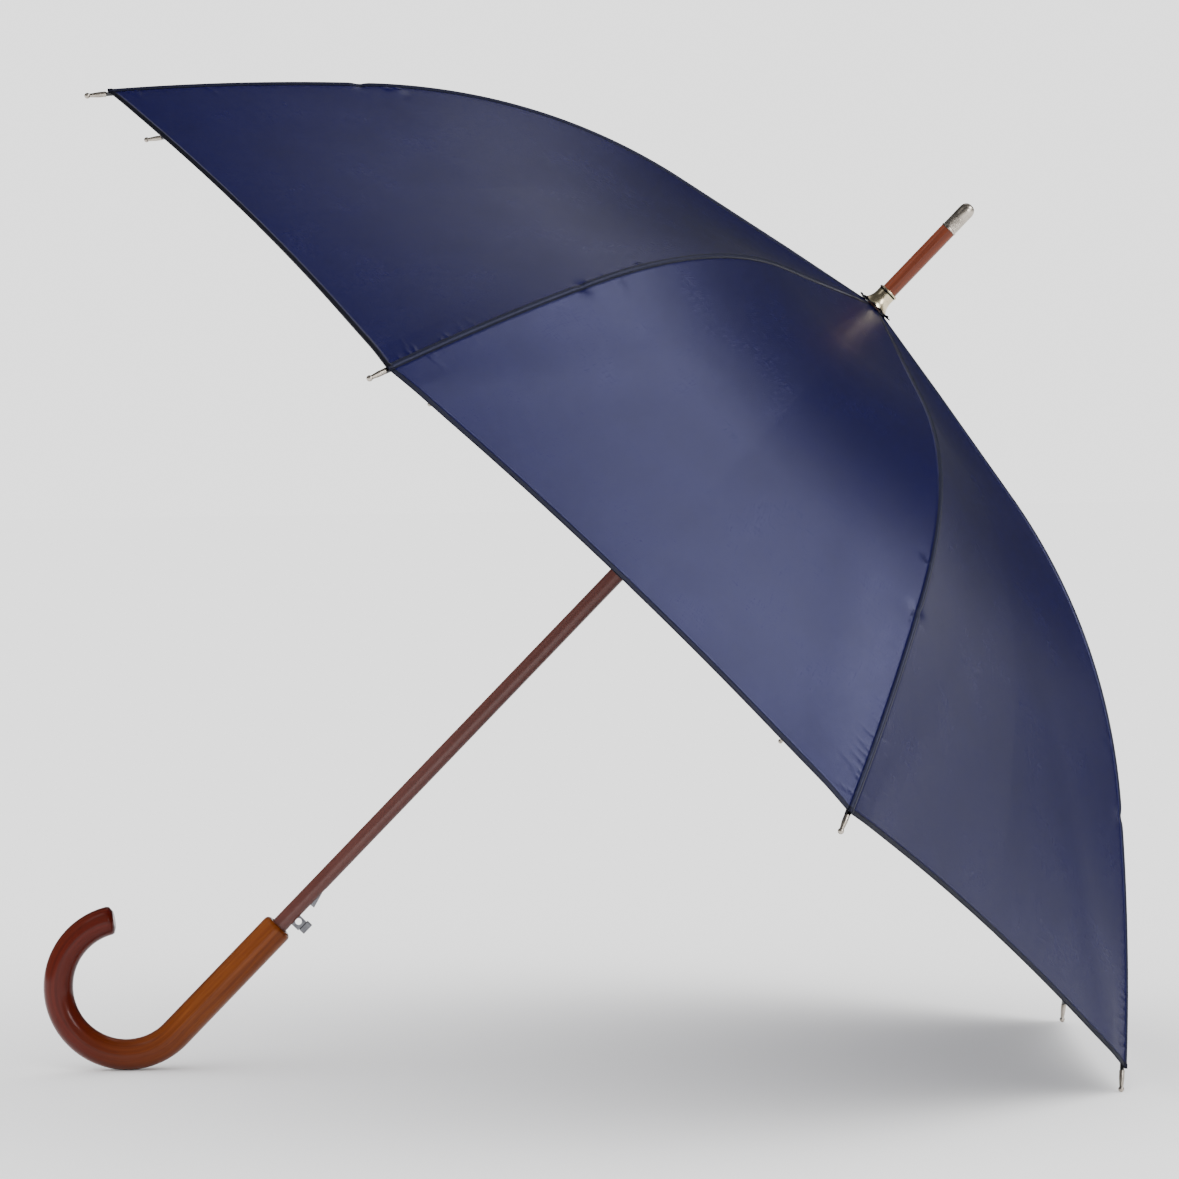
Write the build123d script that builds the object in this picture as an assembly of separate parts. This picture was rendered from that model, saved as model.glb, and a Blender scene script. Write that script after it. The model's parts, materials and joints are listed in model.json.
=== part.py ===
from build123d import *
import os
from math import asin, atan2, cos, degrees, hypot, pi, radians, sin, tan

# Open stick umbrella with a crook handle and an eight-rib cover.
# It is drawn about its own shaft: +Z runs along the shaft to the ferrule, the rib tips lie in
# the plane Z = 0, and +X is the side with the push button. At the end every piece is laid down
# in the resting pose, on the bend of the crook and the two lowest rib tips. All lengths in mm.

# ---- driving dimensions -------------------------------------------------------------------
RIBS = 8
RIB_STEP = 360 / RIBS
HALF_STEP = RIB_STEP / 2

# The cover's meridian over a rib, from the crown: a straight stretch, then two tangent arcs.
CROWN_R = 8.0
RUN_LENGTHS = (172.0, 238.0, 201.0)
RUN_SLOPES = (11.5, 11.5, 41.2, 48.0)        # degrees below square to the shaft, at each run's end
COVER_T = 0.6
COVER_SAG = 5.0                              # how far a panel's middle dips inside its chord
HEM_FROM_TIP = 16.0
HEM_SCALLOP = 8.0

SHAFT_R = 6.0
SHAFT_WALL = 0.7
BORE_R = SHAFT_R - SHAFT_WALL
SHAFT_TOP_ABOVE_CROWN = 7.0
SHAFT_BOTTOM = -414.0
PIN_R = 1.0                                  # cross pins and the drive pin
PIN_INSET = 0.1                              # pin ends inside the tube's outside
FIT_GAP = 0.05                               # between fixed pieces that fit into each other
RUN_GAP = 0.1                                # around a pin or wire that something turns on

ROD_R = 5.8
ROD_END = 357.0
CAP_R = 5.7
CAP_END = 381.5
CAP_BORE_R = 4.2
CAP_BORE_DEPTH = 15.0
CAP_RIM = 0.4
CAP_RIM_H = 1.6
CAP_ROUND = 4.4
SPIGOT_LENGTH = 14.0

BELL_BASE = 1.9                              # crown cap's bell, heights over the crown
BELL_TOP = 16.0
BELL_R = 10.2
BELL_MID_R = 7.9
BELL_MID = 5.3
BELL_NECK_R = 6.9
BELL_NECK = 11.9
BELL_LIP = 0.4
BELL_LIP_DROP = 0.9
BEAD_H = 2.0
BEAD_OUT = 0.7
WASHER_R = 14.0
WASHER_T = 0.8
WASHER_GAP = 0.2

HANDLE_TOP = -341.0
HANDLE_STRAIGHT = 109.0
HANDLE_R = 11.4
HANDLE_END_R = 10.4
CROOK_R = 49.4
CROOK_SWEEP = 216.0
GRIP_ROUND = 3.6
CROOK_END_ROUND = 4.0
BORE_SPARE = 1.0                             # how far the handle's bore runs past the tube

RIB_W = 3.2
RIB_H = 2.2
RIB_WALL = 0.5
RIB_INSET = 2.3                              # rib's middle under the cover's middle surface
JOINT_AT = 264.6                             # arc length from the crown to the stretcher joint
JOINT_DROP = 3.6                             # stretcher pivot under the rib's middle
JOINT_GAP = 0.6
RIB_START = 10.0                             # arc length where the fluted rib begins
LUG_REACH = 9.0                              # how far the stretcher lug runs back along the rib
TIP_LENGTH = 15.0
TIP_BALL_R = 2.0
TIP_SOCKET_R = 1.9
TIP_SOCKET_LENGTH = 5.0
TIP_SOCKET_EDGE = 0.4
TIP_NECK_R = 1.2

PIVOT_R = 9.0                                # radius of the rib and stretcher pivot circles
NOTCH_DROP = 4.7                             # rib pivot under the crown
WIRE_R = 0.6
BLADE_T = 1.2
EYE_R = 1.7
HEAD_R = 12.0
HEAD_EDGE = 1.0
SLOT_W = 1.8
NOTCH_FOOT = 6.2                             # notch under its rib pivots
NOTCH_TOP_DROP = 1.7                         # notch under the crown
NOTCH_COLLAR_R = 7.4
NOTCH_COLLAR_H = 3.0
NOTCH_SLOT_R = 6.6
CUT_SPARE = 1.0                              # how far a cut runs past the surface it opens
CLOSED_ANGLE = 3.0                           # rib chord off the shaft when closed

STRETCHER_W = 3.0
STRETCHER_H = 2.4
STRETCHER_GAP = 2.0
LUG_T = 1.4
RIVET_R = 0.7
EAR_R = 1.5
EAR_LENGTH = 6.0
STRETCHER_EYE_R = 1.6
STRETCHER_BLADE = 18.0
STRETCHER_START = 8.0

RUNNER_BORE_R = 6.1
RUNNER_R = 8.2
RUNNER_FOOT_R = 9.0
RUNNER_FOOT_H = 3.5
RUNNER_HEAD_TOP = 4.5                        # over the stretcher pivots
RUNNER_HEAD_FOOT = 5.5                       # under them
RUNNER_HEAD_CONE = 5.0
RUNNER_SLOT_R = 7.0
RUNNER_SLOT_FOOT = 3.2
RUNNER_WINDOW_H = 15.0
DRIVE_PIN_DROP = 10.0
DRIVE_PIN_IN = 3.5                           # how far the drive pin reaches past the shaft's axis
DRIVE_SLOT_W = 2.6
DRIVE_SLOT_SPARE = 3.0

LATCH_PIVOT = -372.0
LATCH_STEP = -314.7
LATCH_REACH = 9.1
LATCH_RAMP_END = -302.5
LATCH_W = 2.2
LATCH_EYE_R = 2.0
LATCH_FOOT_HALF = 1.6
LATCH_FOOT_H = 8.0
LATCH_FACE = 3.9                             # the strip's outer and inner face, from the axis
LATCH_BACK = 2.7
LATCH_TIP = 3.4
LATCH_TIP_H = 2.0
LATCH_SLOPE = 0.5
CATCH_UNDER_RUNNER = 4.8
WINDOW_ABOVE = 4.0                           # the shaft's window past the ramp and the button
WINDOW_BELOW = 8.0
WINDOW_GAP = 1.0
BUTTON_Z = -329.0
BUTTON_HEAD = (4.7, 5.0, 8.7)
BUTTON_HEAD_X = 14.6
BUTTON_HEAD_RISE = 0.3
BUTTON_EDGE = 0.6
BUTTON_STEM = (8.3, 1.0, 8.8)
BUTTON_STEM_X = 8.1
BUTTON_STEM_DROP = 0.8
BUTTON_HOLE_R = 2.4
BUTTON_HOLE_X = 7.9

STRAP_RIB = 3
STRAP_W = 22.0
STRAP_T = 1.2
STRAP_LENGTH = 140.0
STRAP_FROM_TIP = 34.0
STRAP_LIFT = 0.6
STRAP_SLICES = 5
STUD_R = 5.0
STUD_H = 1.6
STUD_EDGE = 1.0
STUD_FROM_END = 12.0
STUD_LIFT = 0.15

ANCHOR_BELOW_CROWN = 20.0
SPRING_R = 4.2
SPRING_WIRE = 1.2
SPRING_LOOP_R = 3.0
SPRING_LOOP_WIRE = 0.5
SPRING_SKIN = 0.4
SPRING_END = 1.0

COVER_FROM = 2.0                             # arc length where the cover begins
COVER_SLICES = 16
PANEL_GAP = 0.25                             # half the gap between neighbouring cover pieces
HEM_SPARE = 1.0
HEM_BOW = (0.45, 0.72)                       # a point on the hem's arch, as shares of width and rise
HEM_CUT = (150.0, 500.0, 60.0)               # start, reach and depth of the space under the hem

# ---- the meridian -------------------------------------------------------------------------
LENGTH = sum(RUN_LENGTHS)
STRAP_FROM = LENGTH - STRAP_FROM_TIP


def run_step(length, slope_a, slope_b):
    """Outward and downward advance along one stretch of the meridian, from slope to slope."""
    a, b = radians(slope_a), radians(slope_b)
    if abs(a - b) < 1e-9:
        return length * cos(a), length * sin(a)
    radius = length / (b - a)
    return radius * (sin(b) - sin(a)), radius * (cos(a) - cos(b))


def meridian(s, inset=0.0):
    """Radius, height and slope at arc length s from the crown, moved inward by inset."""
    r, drop, start = CROWN_R, 0.0, 0.0
    slope = RUN_SLOPES[0]
    for i, length in enumerate(RUN_LENGTHS):
        part = min(max(s - start, 0.0), length)
        end_slope = RUN_SLOPES[i] + (RUN_SLOPES[i + 1] - RUN_SLOPES[i]) * part / length
        dr, dz = run_step(part, RUN_SLOPES[i], end_slope)
        r, drop, start = r + dr, drop + dz, start + length
        if part > 0:
            slope = end_slope
    a = radians(slope)
    return r - inset * sin(a), CROWN_Z - drop - inset * cos(a), slope


CROWN_Z = sum(run_step(n, RUN_SLOPES[i], RUN_SLOPES[i + 1])[1] for i, n in enumerate(RUN_LENGTHS))

# ---- the linkage: rib chord and stretcher are equal, so the runner moves along the shaft ---
NOTCH = (PIVOT_R, CROWN_Z - NOTCH_DROP)
JOINT = meridian(JOINT_AT, RIB_INSET + JOINT_DROP)[:2]
LINK = hypot(JOINT[0] - NOTCH[0], JOINT[1] - NOTCH[1])
OPEN_SLOPE = degrees(asin((NOTCH[1] - JOINT[1]) / LINK))
RUNNER_Z = 2 * JOINT[1] - NOTCH[1]
RUNNER_CLOSED = NOTCH[1] - 2 * LINK * cos(radians(CLOSED_ANGLE))
RUNNER_BOTTOM = LATCH_STEP - CATCH_UNDER_RUNNER - RUNNER_CLOSED
BALL = meridian(LENGTH - TIP_BALL_R, RIB_INSET)[:2]

# ---- the resting pose ---------------------------------------------------------------------
CROOK_CENTRE = (-CROOK_R, HANDLE_TOP - HANDLE_STRAIGHT)
CONTACT_TURN = 45.0                          # how far round the bend the crook touches the floor
CONTACT_R = CROOK_R + HANDLE_R - (HANDLE_R - HANDLE_END_R) * CONTACT_TURN / CROOK_SWEEP
BALL_X = BALL[0] * cos(radians(HALF_STEP))


def resting_tilt():
    """Angle of the shaft to the floor at which crook and two rib tips touch it together."""
    up, out = BALL[1] - CROOK_CENTRE[1], BALL_X - CROOK_CENTRE[0]
    return degrees(atan2(out, up) + asin((TIP_BALL_R - CONTACT_R) / hypot(up, out)))


TILT = resting_tilt()
SHAFT_DIR = Vector(cos(radians(TILT)), 0, sin(radians(TILT)))
DOWN_DIR = Vector(sin(radians(TILT)), 0, -cos(radians(TILT)))


def around(angle, shape):
    return Rot(0, 0, angle) * shape


def plate(edges, thickness):
    """A flat plate of an XZ outline, centred on Y = 0."""
    return extrude(make_face(Wire(edges)), amount=thickness / 2, dir=(0, 1, 0), both=True)


def polygon(points):
    """Edges through (x, z) points in the XZ plane, closed."""
    ring = [Vector(x, 0, z) for x, z in points]
    return [Line(a, b) for a, b in zip(ring, ring[1:] + ring[:1])]


def across(x, z, radius, length):
    """A round pin along Y, through (x, z)."""
    return Pos(x, 0, z) * Rot(90, 0, 0) * Cylinder(radius, length)


def turned(points):
    """A solid of revolution about the shaft, from (radius, z) points."""
    return revolve(make_face(Wire(polygon(points))), Axis.Z)


# ---- shaft, handle and ferrule ------------------------------------------------------------
def shaft():
    top = CROWN_Z + SHAFT_TOP_ABOVE_CROWN
    tube = turned([(BORE_R, SHAFT_BOTTOM), (SHAFT_R, SHAFT_BOTTOM), (SHAFT_R, top), (BORE_R, top)])
    pin_open, pin_closed = RUNNER_Z - DRIVE_PIN_DROP, RUNNER_CLOSED - DRIVE_PIN_DROP
    travel = pin_open - pin_closed + 2 * DRIVE_SLOT_SPARE
    slot = Box(DRIVE_SLOT_W, SHAFT_R, travel, align=(Align.CENTER, Align.MIN, Align.MIN))
    tube -= Pos(0, 0, pin_closed - DRIVE_SLOT_SPARE) * slot
    latch_top, latch_low = LATCH_RAMP_END + WINDOW_ABOVE, BUTTON_Z - WINDOW_BELOW
    window = Box(
        SHAFT_R + CUT_SPARE, LATCH_W + WINDOW_GAP, latch_top - latch_low,
        align=(Align.MIN, Align.CENTER, Align.MIN),
    )
    tube -= Pos(WINDOW_GAP, 0, latch_low) * window
    tube -= across(0, LATCH_PIVOT, PIN_R + FIT_GAP, 4 * SHAFT_R)
    return tube - across(0, CROWN_Z - ANCHOR_BELOW_CROWN, PIN_R + FIT_GAP, 4 * SHAFT_R)


def crook_handle():
    low = HANDLE_TOP - HANDLE_STRAIGHT
    grip = Pos(0, 0, low) * Cylinder(
        HANDLE_R, HANDLE_STRAIGHT, align=(Align.CENTER, Align.CENTER, Align.MIN)
    )
    grip = fillet(grip.edges().sort_by(Axis.Z)[-1], GRIP_ROUND)
    path = Edge.make_circle(
        CROOK_R,
        Plane((CROOK_CENTRE[0], 0, CROOK_CENTRE[1]), x_dir=(1, 0, 0), z_dir=(0, 1, 0)),
        0,
        CROOK_SWEEP,
    )
    start = Plane(path @ 0, x_dir=(0, 1, 0), z_dir=path % 0)
    end = Plane(path @ 1, x_dir=(0, 1, 0), z_dir=path % 1)
    sections = [start * Circle(HANDLE_R), end * Circle(HANDLE_END_R)]
    crook = sweep(sections, path=path, multisection=True)
    rim = crook.edges().sort_by_distance(path @ 1)[0]
    crook = fillet(rim, CROOK_END_ROUND)
    depth = HANDLE_TOP - SHAFT_BOTTOM + 2 * BORE_SPARE
    bore = Pos(0, 0, SHAFT_BOTTOM - BORE_SPARE) * Cylinder(
        SHAFT_R + FIT_GAP, depth, align=(Align.CENTER, Align.CENTER, Align.MIN)
    )
    return grip + crook - bore


def ferrule_rod():
    top = CROWN_Z + SHAFT_TOP_ABOVE_CROWN
    spigot, stub = BORE_R - FIT_GAP, CAP_BORE_R - FIT_GAP
    return turned([
        (0, top - SPIGOT_LENGTH), (spigot, top - SPIGOT_LENGTH), (spigot, top + FIT_GAP),
        (ROD_R, top + FIT_GAP), (ROD_R, ROD_END), (stub, ROD_END),
        (stub, ROD_END + SPIGOT_LENGTH), (0, ROD_END + SPIGOT_LENGTH),
    ])


def end_cap():
    foot, rim = ROD_END + FIT_GAP, CAP_R + CAP_RIM
    cap = turned([
        (0, foot + CAP_BORE_DEPTH), (CAP_BORE_R, foot + CAP_BORE_DEPTH), (CAP_BORE_R, foot),
        (rim, foot), (rim, foot + CAP_RIM_H), (CAP_R, foot + CAP_RIM_H + CAP_RIM),
        (CAP_R, CAP_END), (0, CAP_END),
    ])
    return fillet(cap.edges().sort_by(Axis.Z)[-1], CAP_ROUND)


def crown_cap():
    bore, base, top = SHAFT_R + FIT_GAP, CROWN_Z + BELL_BASE, CROWN_Z + BELL_TOP
    rim = base - BELL_LIP_DROP
    bell = (BELL_R, 0, rim + BELL_LIP)
    neck = (BELL_NECK_R, 0, CROWN_Z + BELL_NECK)
    bead = (BELL_NECK_R, 0, top - BEAD_H)
    outline = [
        Line((bore, 0, base), (BELL_R, 0, rim)),
        Line((BELL_R, 0, rim), bell),
        ThreePointArc(bell, (BELL_MID_R, 0, CROWN_Z + BELL_MID), neck),
        Line(neck, bead),
        ThreePointArc(bead, (BELL_NECK_R + BEAD_OUT, 0, top - BEAD_H / 2), (BELL_NECK_R, 0, top)),
        Line((BELL_NECK_R, 0, top), (bore, 0, top)),
        Line((bore, 0, top), (bore, 0, base)),
    ]
    return revolve(make_face(Wire(outline)), Axis.Z)


def crown_washer():
    fall = tan(radians(RUN_SLOPES[0]))
    low = CROWN_Z + COVER_T / 2 + WASHER_GAP
    inner, outer = SHAFT_R + FIT_GAP, WASHER_R
    points = [(inner, low + (CROWN_R - inner) * fall), (outer, low - (outer - CROWN_R) * fall)]
    return turned(points + [(r, z + WASHER_T) for r, z in reversed(points)])


# ---- hubs: the fixed notch and the sliding runner -----------------------------------------
def slots(inner_r, low, high):
    """Eight radial slots for the rib or stretcher blades."""
    cut = Pos(inner_r, 0, low) * Box(
        HEAD_R, SLOT_W, high - low, align=(Align.MIN, Align.CENTER, Align.MIN)
    )
    return [around(HALF_STEP + i * RIB_STEP, cut) for i in range(RIBS)]


def wire_groove(low, high):
    """A ring-shaped groove for a hub's wire, from its bottom to its mouth."""
    half = WIRE_R + RUN_GAP
    inner, outer = PIVOT_R - half, PIVOT_R + half
    return turned([(inner, low), (outer, low), (outer, high), (inner, high)])


def wire_ring(pivot_z):
    return Pos(0, 0, pivot_z) * Torus(PIVOT_R, WIRE_R)


def top_notch():
    low, high = NOTCH[1] - NOTCH_FOOT, CROWN_Z - NOTCH_TOP_DROP
    foot = low - NOTCH_COLLAR_H
    hub = turned([
        (SHAFT_R + FIT_GAP, foot), (NOTCH_COLLAR_R, foot), (NOTCH_COLLAR_R, low),
        (HEAD_R - HEAD_EDGE, low), (HEAD_R, low + HEAD_EDGE), (HEAD_R, high), (SHAFT_R + FIT_GAP, high),
    ])
    hub -= wire_groove(foot - CUT_SPARE, NOTCH[1] + WIRE_R + RUN_GAP)
    return hub - slots(NOTCH_SLOT_R, foot - CUT_SPARE, high + CUT_SPARE)


def runner():
    foot, neck = RUNNER_Z + RUNNER_BOTTOM, RUNNER_Z - RUNNER_HEAD_FOOT
    top = RUNNER_Z + RUNNER_HEAD_TOP
    body = turned([
        (RUNNER_BORE_R, foot), (RUNNER_FOOT_R, foot), (RUNNER_FOOT_R, foot + RUNNER_FOOT_H),
        (RUNNER_R, foot + RUNNER_FOOT_H + HEAD_EDGE), (RUNNER_R, neck - RUNNER_HEAD_CONE),
        (HEAD_R - HEAD_EDGE, neck), (HEAD_R, neck + HEAD_EDGE), (HEAD_R, top), (RUNNER_BORE_R, top),
    ])
    body -= wire_groove(RUNNER_Z - WIRE_R - RUN_GAP, top + CUT_SPARE)
    body -= slots(RUNNER_SLOT_R, RUNNER_Z - RUNNER_SLOT_FOOT, top + CUT_SPARE)
    latch_low = LATCH_STEP - 2 * RUN_GAP - RUNNER_CLOSED + RUNNER_Z
    window = Box(
        HEAD_R, LATCH_W + WINDOW_GAP + 2 * RUN_GAP, RUNNER_WINDOW_H,
        align=(Align.MIN, Align.CENTER, Align.MIN),
    )
    body -= Pos(WINDOW_GAP, 0, latch_low) * window
    return body - drive_pin_shape(PIN_R + FIT_GAP, HEAD_R)


def drive_pin_shape(radius, outer_end):
    """A pin through the runner's far wall and the shaft's slot into the shaft's bore."""
    length = outer_end + DRIVE_PIN_IN
    pin = Rot(90, 0, 0) * Cylinder(radius, length)
    return Pos(0, outer_end - length / 2, RUNNER_Z - DRIVE_PIN_DROP) * pin


# ---- ribs, tips and stretchers ------------------------------------------------------------
def meridian_path(s_start, s_end, inset):
    """The meridian between two arc lengths, as exact lines and arcs in the XZ plane."""
    breaks = [0.0, RUN_LENGTHS[0], RUN_LENGTHS[0] + RUN_LENGTHS[1], LENGTH]
    stops = [s_start] + [b for b in breaks if s_start < b < s_end] + [s_end]

    def at(s):
        r, z, _ = meridian(s, inset)
        return Vector(r, 0, z)

    edges = []
    for a, b in zip(stops, stops[1:]):
        if b <= RUN_LENGTHS[0]:
            edges.append(Line(at(a), at(b)))
        else:
            edges.append(ThreePointArc(at(a), at((a + b) / 2), at(b)))
    return Wire(edges)


def channel(s_start, s_end):
    """A fluted rib: a U section, open underneath, along the meridian."""
    path = meridian_path(s_start, s_end, RIB_INSET)
    r, z, slope = meridian(s_start, RIB_INSET)
    tangent = Vector(cos(radians(slope)), 0, -sin(radians(slope)))
    section = Rectangle(RIB_W, RIB_H) - Pos(0, -RIB_WALL) * Rectangle(RIB_W - 2 * RIB_WALL, RIB_H)
    return sweep(Plane((r, 0, z), x_dir=(0, -1, 0), z_dir=tangent) * section, path=path)


def rib_inner():
    r, z, _ = meridian(RIB_START + EAR_LENGTH, RIB_INSET)
    nose = polygon([
        (NOTCH[0], NOTCH[1] + EYE_R), (r, z + RIB_H / 2 - RUN_GAP),
        (r, z - RIB_H / 2), (NOTCH[0], NOTCH[1] - EYE_R),
    ])
    blade = plate(nose, BLADE_T) + across(*NOTCH, EYE_R, BLADE_T)
    front = meridian(JOINT_AT - LUG_REACH / 3, RIB_INSET)[:2]
    back = meridian(JOINT_AT - LUG_REACH, RIB_INSET)[:2]
    lug_outline = polygon([
        back, front, (JOINT[0] + EAR_R, JOINT[1]), (JOINT[0] - EAR_R, JOINT[1] - 2 * RUN_GAP),
    ])
    lug = plate(lug_outline, LUG_T) + across(*JOINT, EAR_R, LUG_T)
    rivet = across(*JOINT, RIVET_R, STRETCHER_W + 4 * RUN_GAP)
    body = channel(RIB_START, JOINT_AT - JOINT_GAP) + blade + lug + rivet
    return body - across(*NOTCH, WIRE_R + RUN_GAP, 2 * BLADE_T)


def rib_outer():
    return channel(JOINT_AT + JOINT_GAP, LENGTH - TIP_LENGTH)


def rib_tip():
    """A turned tip: a socket, a taper and a small ball, along the rib's end."""
    r, z, slope = meridian(LENGTH, RIB_INSET)
    tangent = Vector(cos(radians(slope)), 0, -sin(radians(slope)))
    root = Vector(r, 0, z) - tangent * (TIP_LENGTH - FIT_GAP)
    length = TIP_LENGTH - FIT_GAP
    neck = length - TIP_BALL_R
    body = turned([
        (0, 0), (TIP_SOCKET_R - TIP_SOCKET_EDGE, 0), (TIP_SOCKET_R, TIP_SOCKET_EDGE),
        (TIP_SOCKET_R, TIP_SOCKET_LENGTH), (TIP_NECK_R, neck), (0, neck),
    ])
    body += Pos(0, 0, length - TIP_BALL_R) * Sphere(TIP_BALL_R)
    return Plane(root, x_dir=(0, 1, 0), z_dir=tangent).location * body


def stretcher():
    """A U strut from the runner's wire to the rib's lug, drawn along +X and then turned up."""
    length = LINK - STRETCHER_START
    side = Pos(STRETCHER_START + length / 2, 0, 0) * Box(length, STRETCHER_W, STRETCHER_H)
    side += across(LINK, 0, EAR_R, STRETCHER_W)
    flute = Pos(STRETCHER_START + length / 2, 0, RIB_WALL) * Box(
        length + STRETCHER_START, STRETCHER_GAP, STRETCHER_H
    )
    end_gap = Pos(LINK - EAR_LENGTH, 0, 0) * Box(
        2 * EAR_LENGTH, STRETCHER_GAP, 3 * STRETCHER_H, align=(Align.MIN, Align.CENTER, Align.CENTER)
    )
    blade = Pos(STRETCHER_BLADE / 2, 0, 0) * Box(STRETCHER_BLADE, BLADE_T, 2 * (STRETCHER_EYE_R - RUN_GAP))
    blade += across(0, 0, STRETCHER_EYE_R, BLADE_T)
    root = STRETCHER_BLADE / 3
    blade += Pos(STRETCHER_BLADE - root / 2, 0, 0) * Box(root, STRETCHER_GAP, STRETCHER_H - 4 * RUN_GAP)
    body = side - flute - end_gap + blade
    body -= across(0, 0, WIRE_R + RUN_GAP, 2 * BLADE_T)
    body -= across(LINK, 0, RIVET_R + RUN_GAP, 2 * STRETCHER_W)
    return Pos(PIVOT_R, 0, RUNNER_Z) * Rot(0, -OPEN_SLOPE, 0) * body


# ---- latch and opening spring -------------------------------------------------------------
def catch_spring():
    tip = LATCH_RAMP_END + LATCH_TIP_H
    outline = polygon([
        (-LATCH_FOOT_HALF, LATCH_PIVOT), (LATCH_FOOT_HALF, LATCH_PIVOT),
        (LATCH_FACE, LATCH_PIVOT + LATCH_FOOT_H), (LATCH_FACE, LATCH_STEP),
        (LATCH_REACH, LATCH_STEP + LATCH_SLOPE), (SHAFT_R, LATCH_RAMP_END), (LATCH_TIP, tip),
        (LATCH_BACK, tip), (LATCH_BACK, LATCH_PIVOT + LATCH_FOOT_H + HEAD_EDGE),
    ])
    strip = plate(outline, LATCH_W) + across(0, LATCH_PIVOT, LATCH_EYE_R, LATCH_W)
    return strip - across(0, LATCH_PIVOT, PIN_R + RUN_GAP, 2 * LATCH_W)


def push_button():
    stem = Pos(BUTTON_STEM_X, 0, BUTTON_Z - BUTTON_STEM_DROP) * Box(*BUTTON_STEM)
    stem -= across(BUTTON_HOLE_X, BUTTON_Z - BUTTON_HEAD_RISE, BUTTON_HOLE_R, 4 * BUTTON_STEM[1])
    head = Pos(BUTTON_HEAD_X, 0, BUTTON_Z + BUTTON_HEAD_RISE) * Box(*BUTTON_HEAD)
    head = fillet(head.edges(), BUTTON_EDGE)
    return stem + head


def pivot_pin(z):
    return across(0, z, PIN_R, 2 * (SHAFT_R - PIN_INSET))


def opening_spring():
    """A close-wound extension spring with a loop at each end, hooked on two cross pins."""
    low_pin, high_pin = RUNNER_Z - DRIVE_PIN_DROP, CROWN_Z - ANCHOR_BELOW_CROWN
    reach = SPRING_LOOP_R - SPRING_LOOP_WIRE - PIN_R - RUN_GAP
    low, high = low_pin + reach + SPRING_LOOP_R, high_pin - reach - SPRING_LOOP_R
    turns = int((high - low) / SPRING_WIRE)
    pitch = (high - low) / turns
    flat = SPRING_R - SPRING_WIRE / 2
    skin = flat - SPRING_SKIN
    outline = [Line((skin, 0, high), (skin, 0, low)), Line((skin, 0, low), (flat, 0, low))]
    for i in range(turns):
        a = low + i * pitch
        middle = (SPRING_R, 0, a + pitch / 2)
        outline.append(ThreePointArc((flat, 0, a), middle, (flat, 0, a + pitch)))
    outline.append(Line((flat, 0, high), (skin, 0, high)))
    coil = revolve(make_face(Wire(outline)), Axis.Z)
    ends = [
        turned([(0, z), (flat, z), (flat, z + SPRING_END), (0, z + SPRING_END)])
        for z in (low, high - SPRING_END)
    ]
    loop = Rot(90, 0, 0) * Torus(SPRING_LOOP_R, SPRING_LOOP_WIRE)
    return coil + ends + [Pos(0, 0, z) * loop for z in (low_pin + reach, high_pin - reach)]


# ---- cover --------------------------------------------------------------------------------
def panel_sag(s):
    return COVER_SAG * sin(pi * min(s / (LENGTH - HEM_FROM_TIP), 1.0)) ** 2


def level_face(points, z):
    """A face through (x, y) points in the plane at height z."""
    ring = [Vector(x, y, z) for x, y in points]
    return make_face(Wire([Line(a, b) for a, b in zip(ring, ring[1:] + ring[:1])]))


def cover_section(s):
    """A level slice through the two half panels beside one rib, cut short of the neighbours."""
    r, z, slope = meridian(s)
    half = COVER_T / 2 / sin(radians(slope))
    c, d = cos(radians(HALF_STEP)), sin(radians(HALF_STEP))

    def valley(radius):
        flat = radius * c - panel_sag(s)
        return flat * c + PANEL_GAP * d, flat * d - PANEL_GAP * c

    outer, inner = valley(r + half), valley(r - half)
    return level_face([
        (outer[0], -outer[1]), (r + half, 0), outer,
        inner, (r - half, 0), (inner[0], -inner[1]),
    ], z)


def hem_cut():
    """The space under the hem, which is lowest at the rib and arched over the panels."""
    r, z, _ = meridian(LENGTH - HEM_FROM_TIP)
    side = r * cos(radians(HALF_STEP)) * sin(radians(HALF_STEP)) + TIP_SOCKET_LENGTH
    start, reach, depth = HEM_CUT
    top, low = z + HEM_SCALLOP, z - depth
    bow = (side * HEM_BOW[0], z + HEM_SCALLOP * HEM_BOW[1])
    outline = [
        ThreePointArc((0, -side, top), (0, -bow[0], bow[1]), (0, 0, z)),
        ThreePointArc((0, 0, z), (0, bow[0], bow[1]), (0, side, top)),
        Line((0, side, top), (0, side, low)),
        Line((0, side, low), (0, -side, low)),
        Line((0, -side, low), (0, -side, top)),
    ]
    return Pos(start, 0, 0) * extrude(make_face(Wire(outline)), amount=reach, dir=(1, 0, 0))


def cover_petal():
    """The cover beside one rib, from crown to hem, as one thin closed shell."""
    last = LENGTH - HEM_FROM_TIP + HEM_SPARE
    step = (last - COVER_FROM) / (COVER_SLICES - 1)
    petal = loft([cover_section(COVER_FROM + i * step) for i in range(COVER_SLICES)])
    return petal - hem_cut()


def strap_section(s):
    """A level slice through the strap, which lies over a rib's seam like a low roof."""
    r, z, slope = meridian(s)
    flat = r * cos(radians(HALF_STEP)) - panel_sag(s)
    fall = Vector(flat * cos(radians(HALF_STEP)) - r, flat * sin(radians(HALF_STEP))).normalized()
    edge = fall * (STRAP_W / 2)
    inner = r + (COVER_T / 2 + STRAP_LIFT) / sin(radians(slope))
    outer = inner + STRAP_T / sin(radians(slope))
    return level_face([
        (outer + edge.X, -edge.Y), (outer, 0), (outer + edge.X, edge.Y),
        (inner + edge.X, edge.Y), (inner, 0), (inner + edge.X, -edge.Y),
    ], z)


def tie_strap():
    """The closing strap, lying over a seam of the cover above the hem."""
    step = STRAP_LENGTH / (STRAP_SLICES - 1)
    return loft([strap_section(STRAP_FROM - i * step) for i in range(STRAP_SLICES)])


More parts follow.
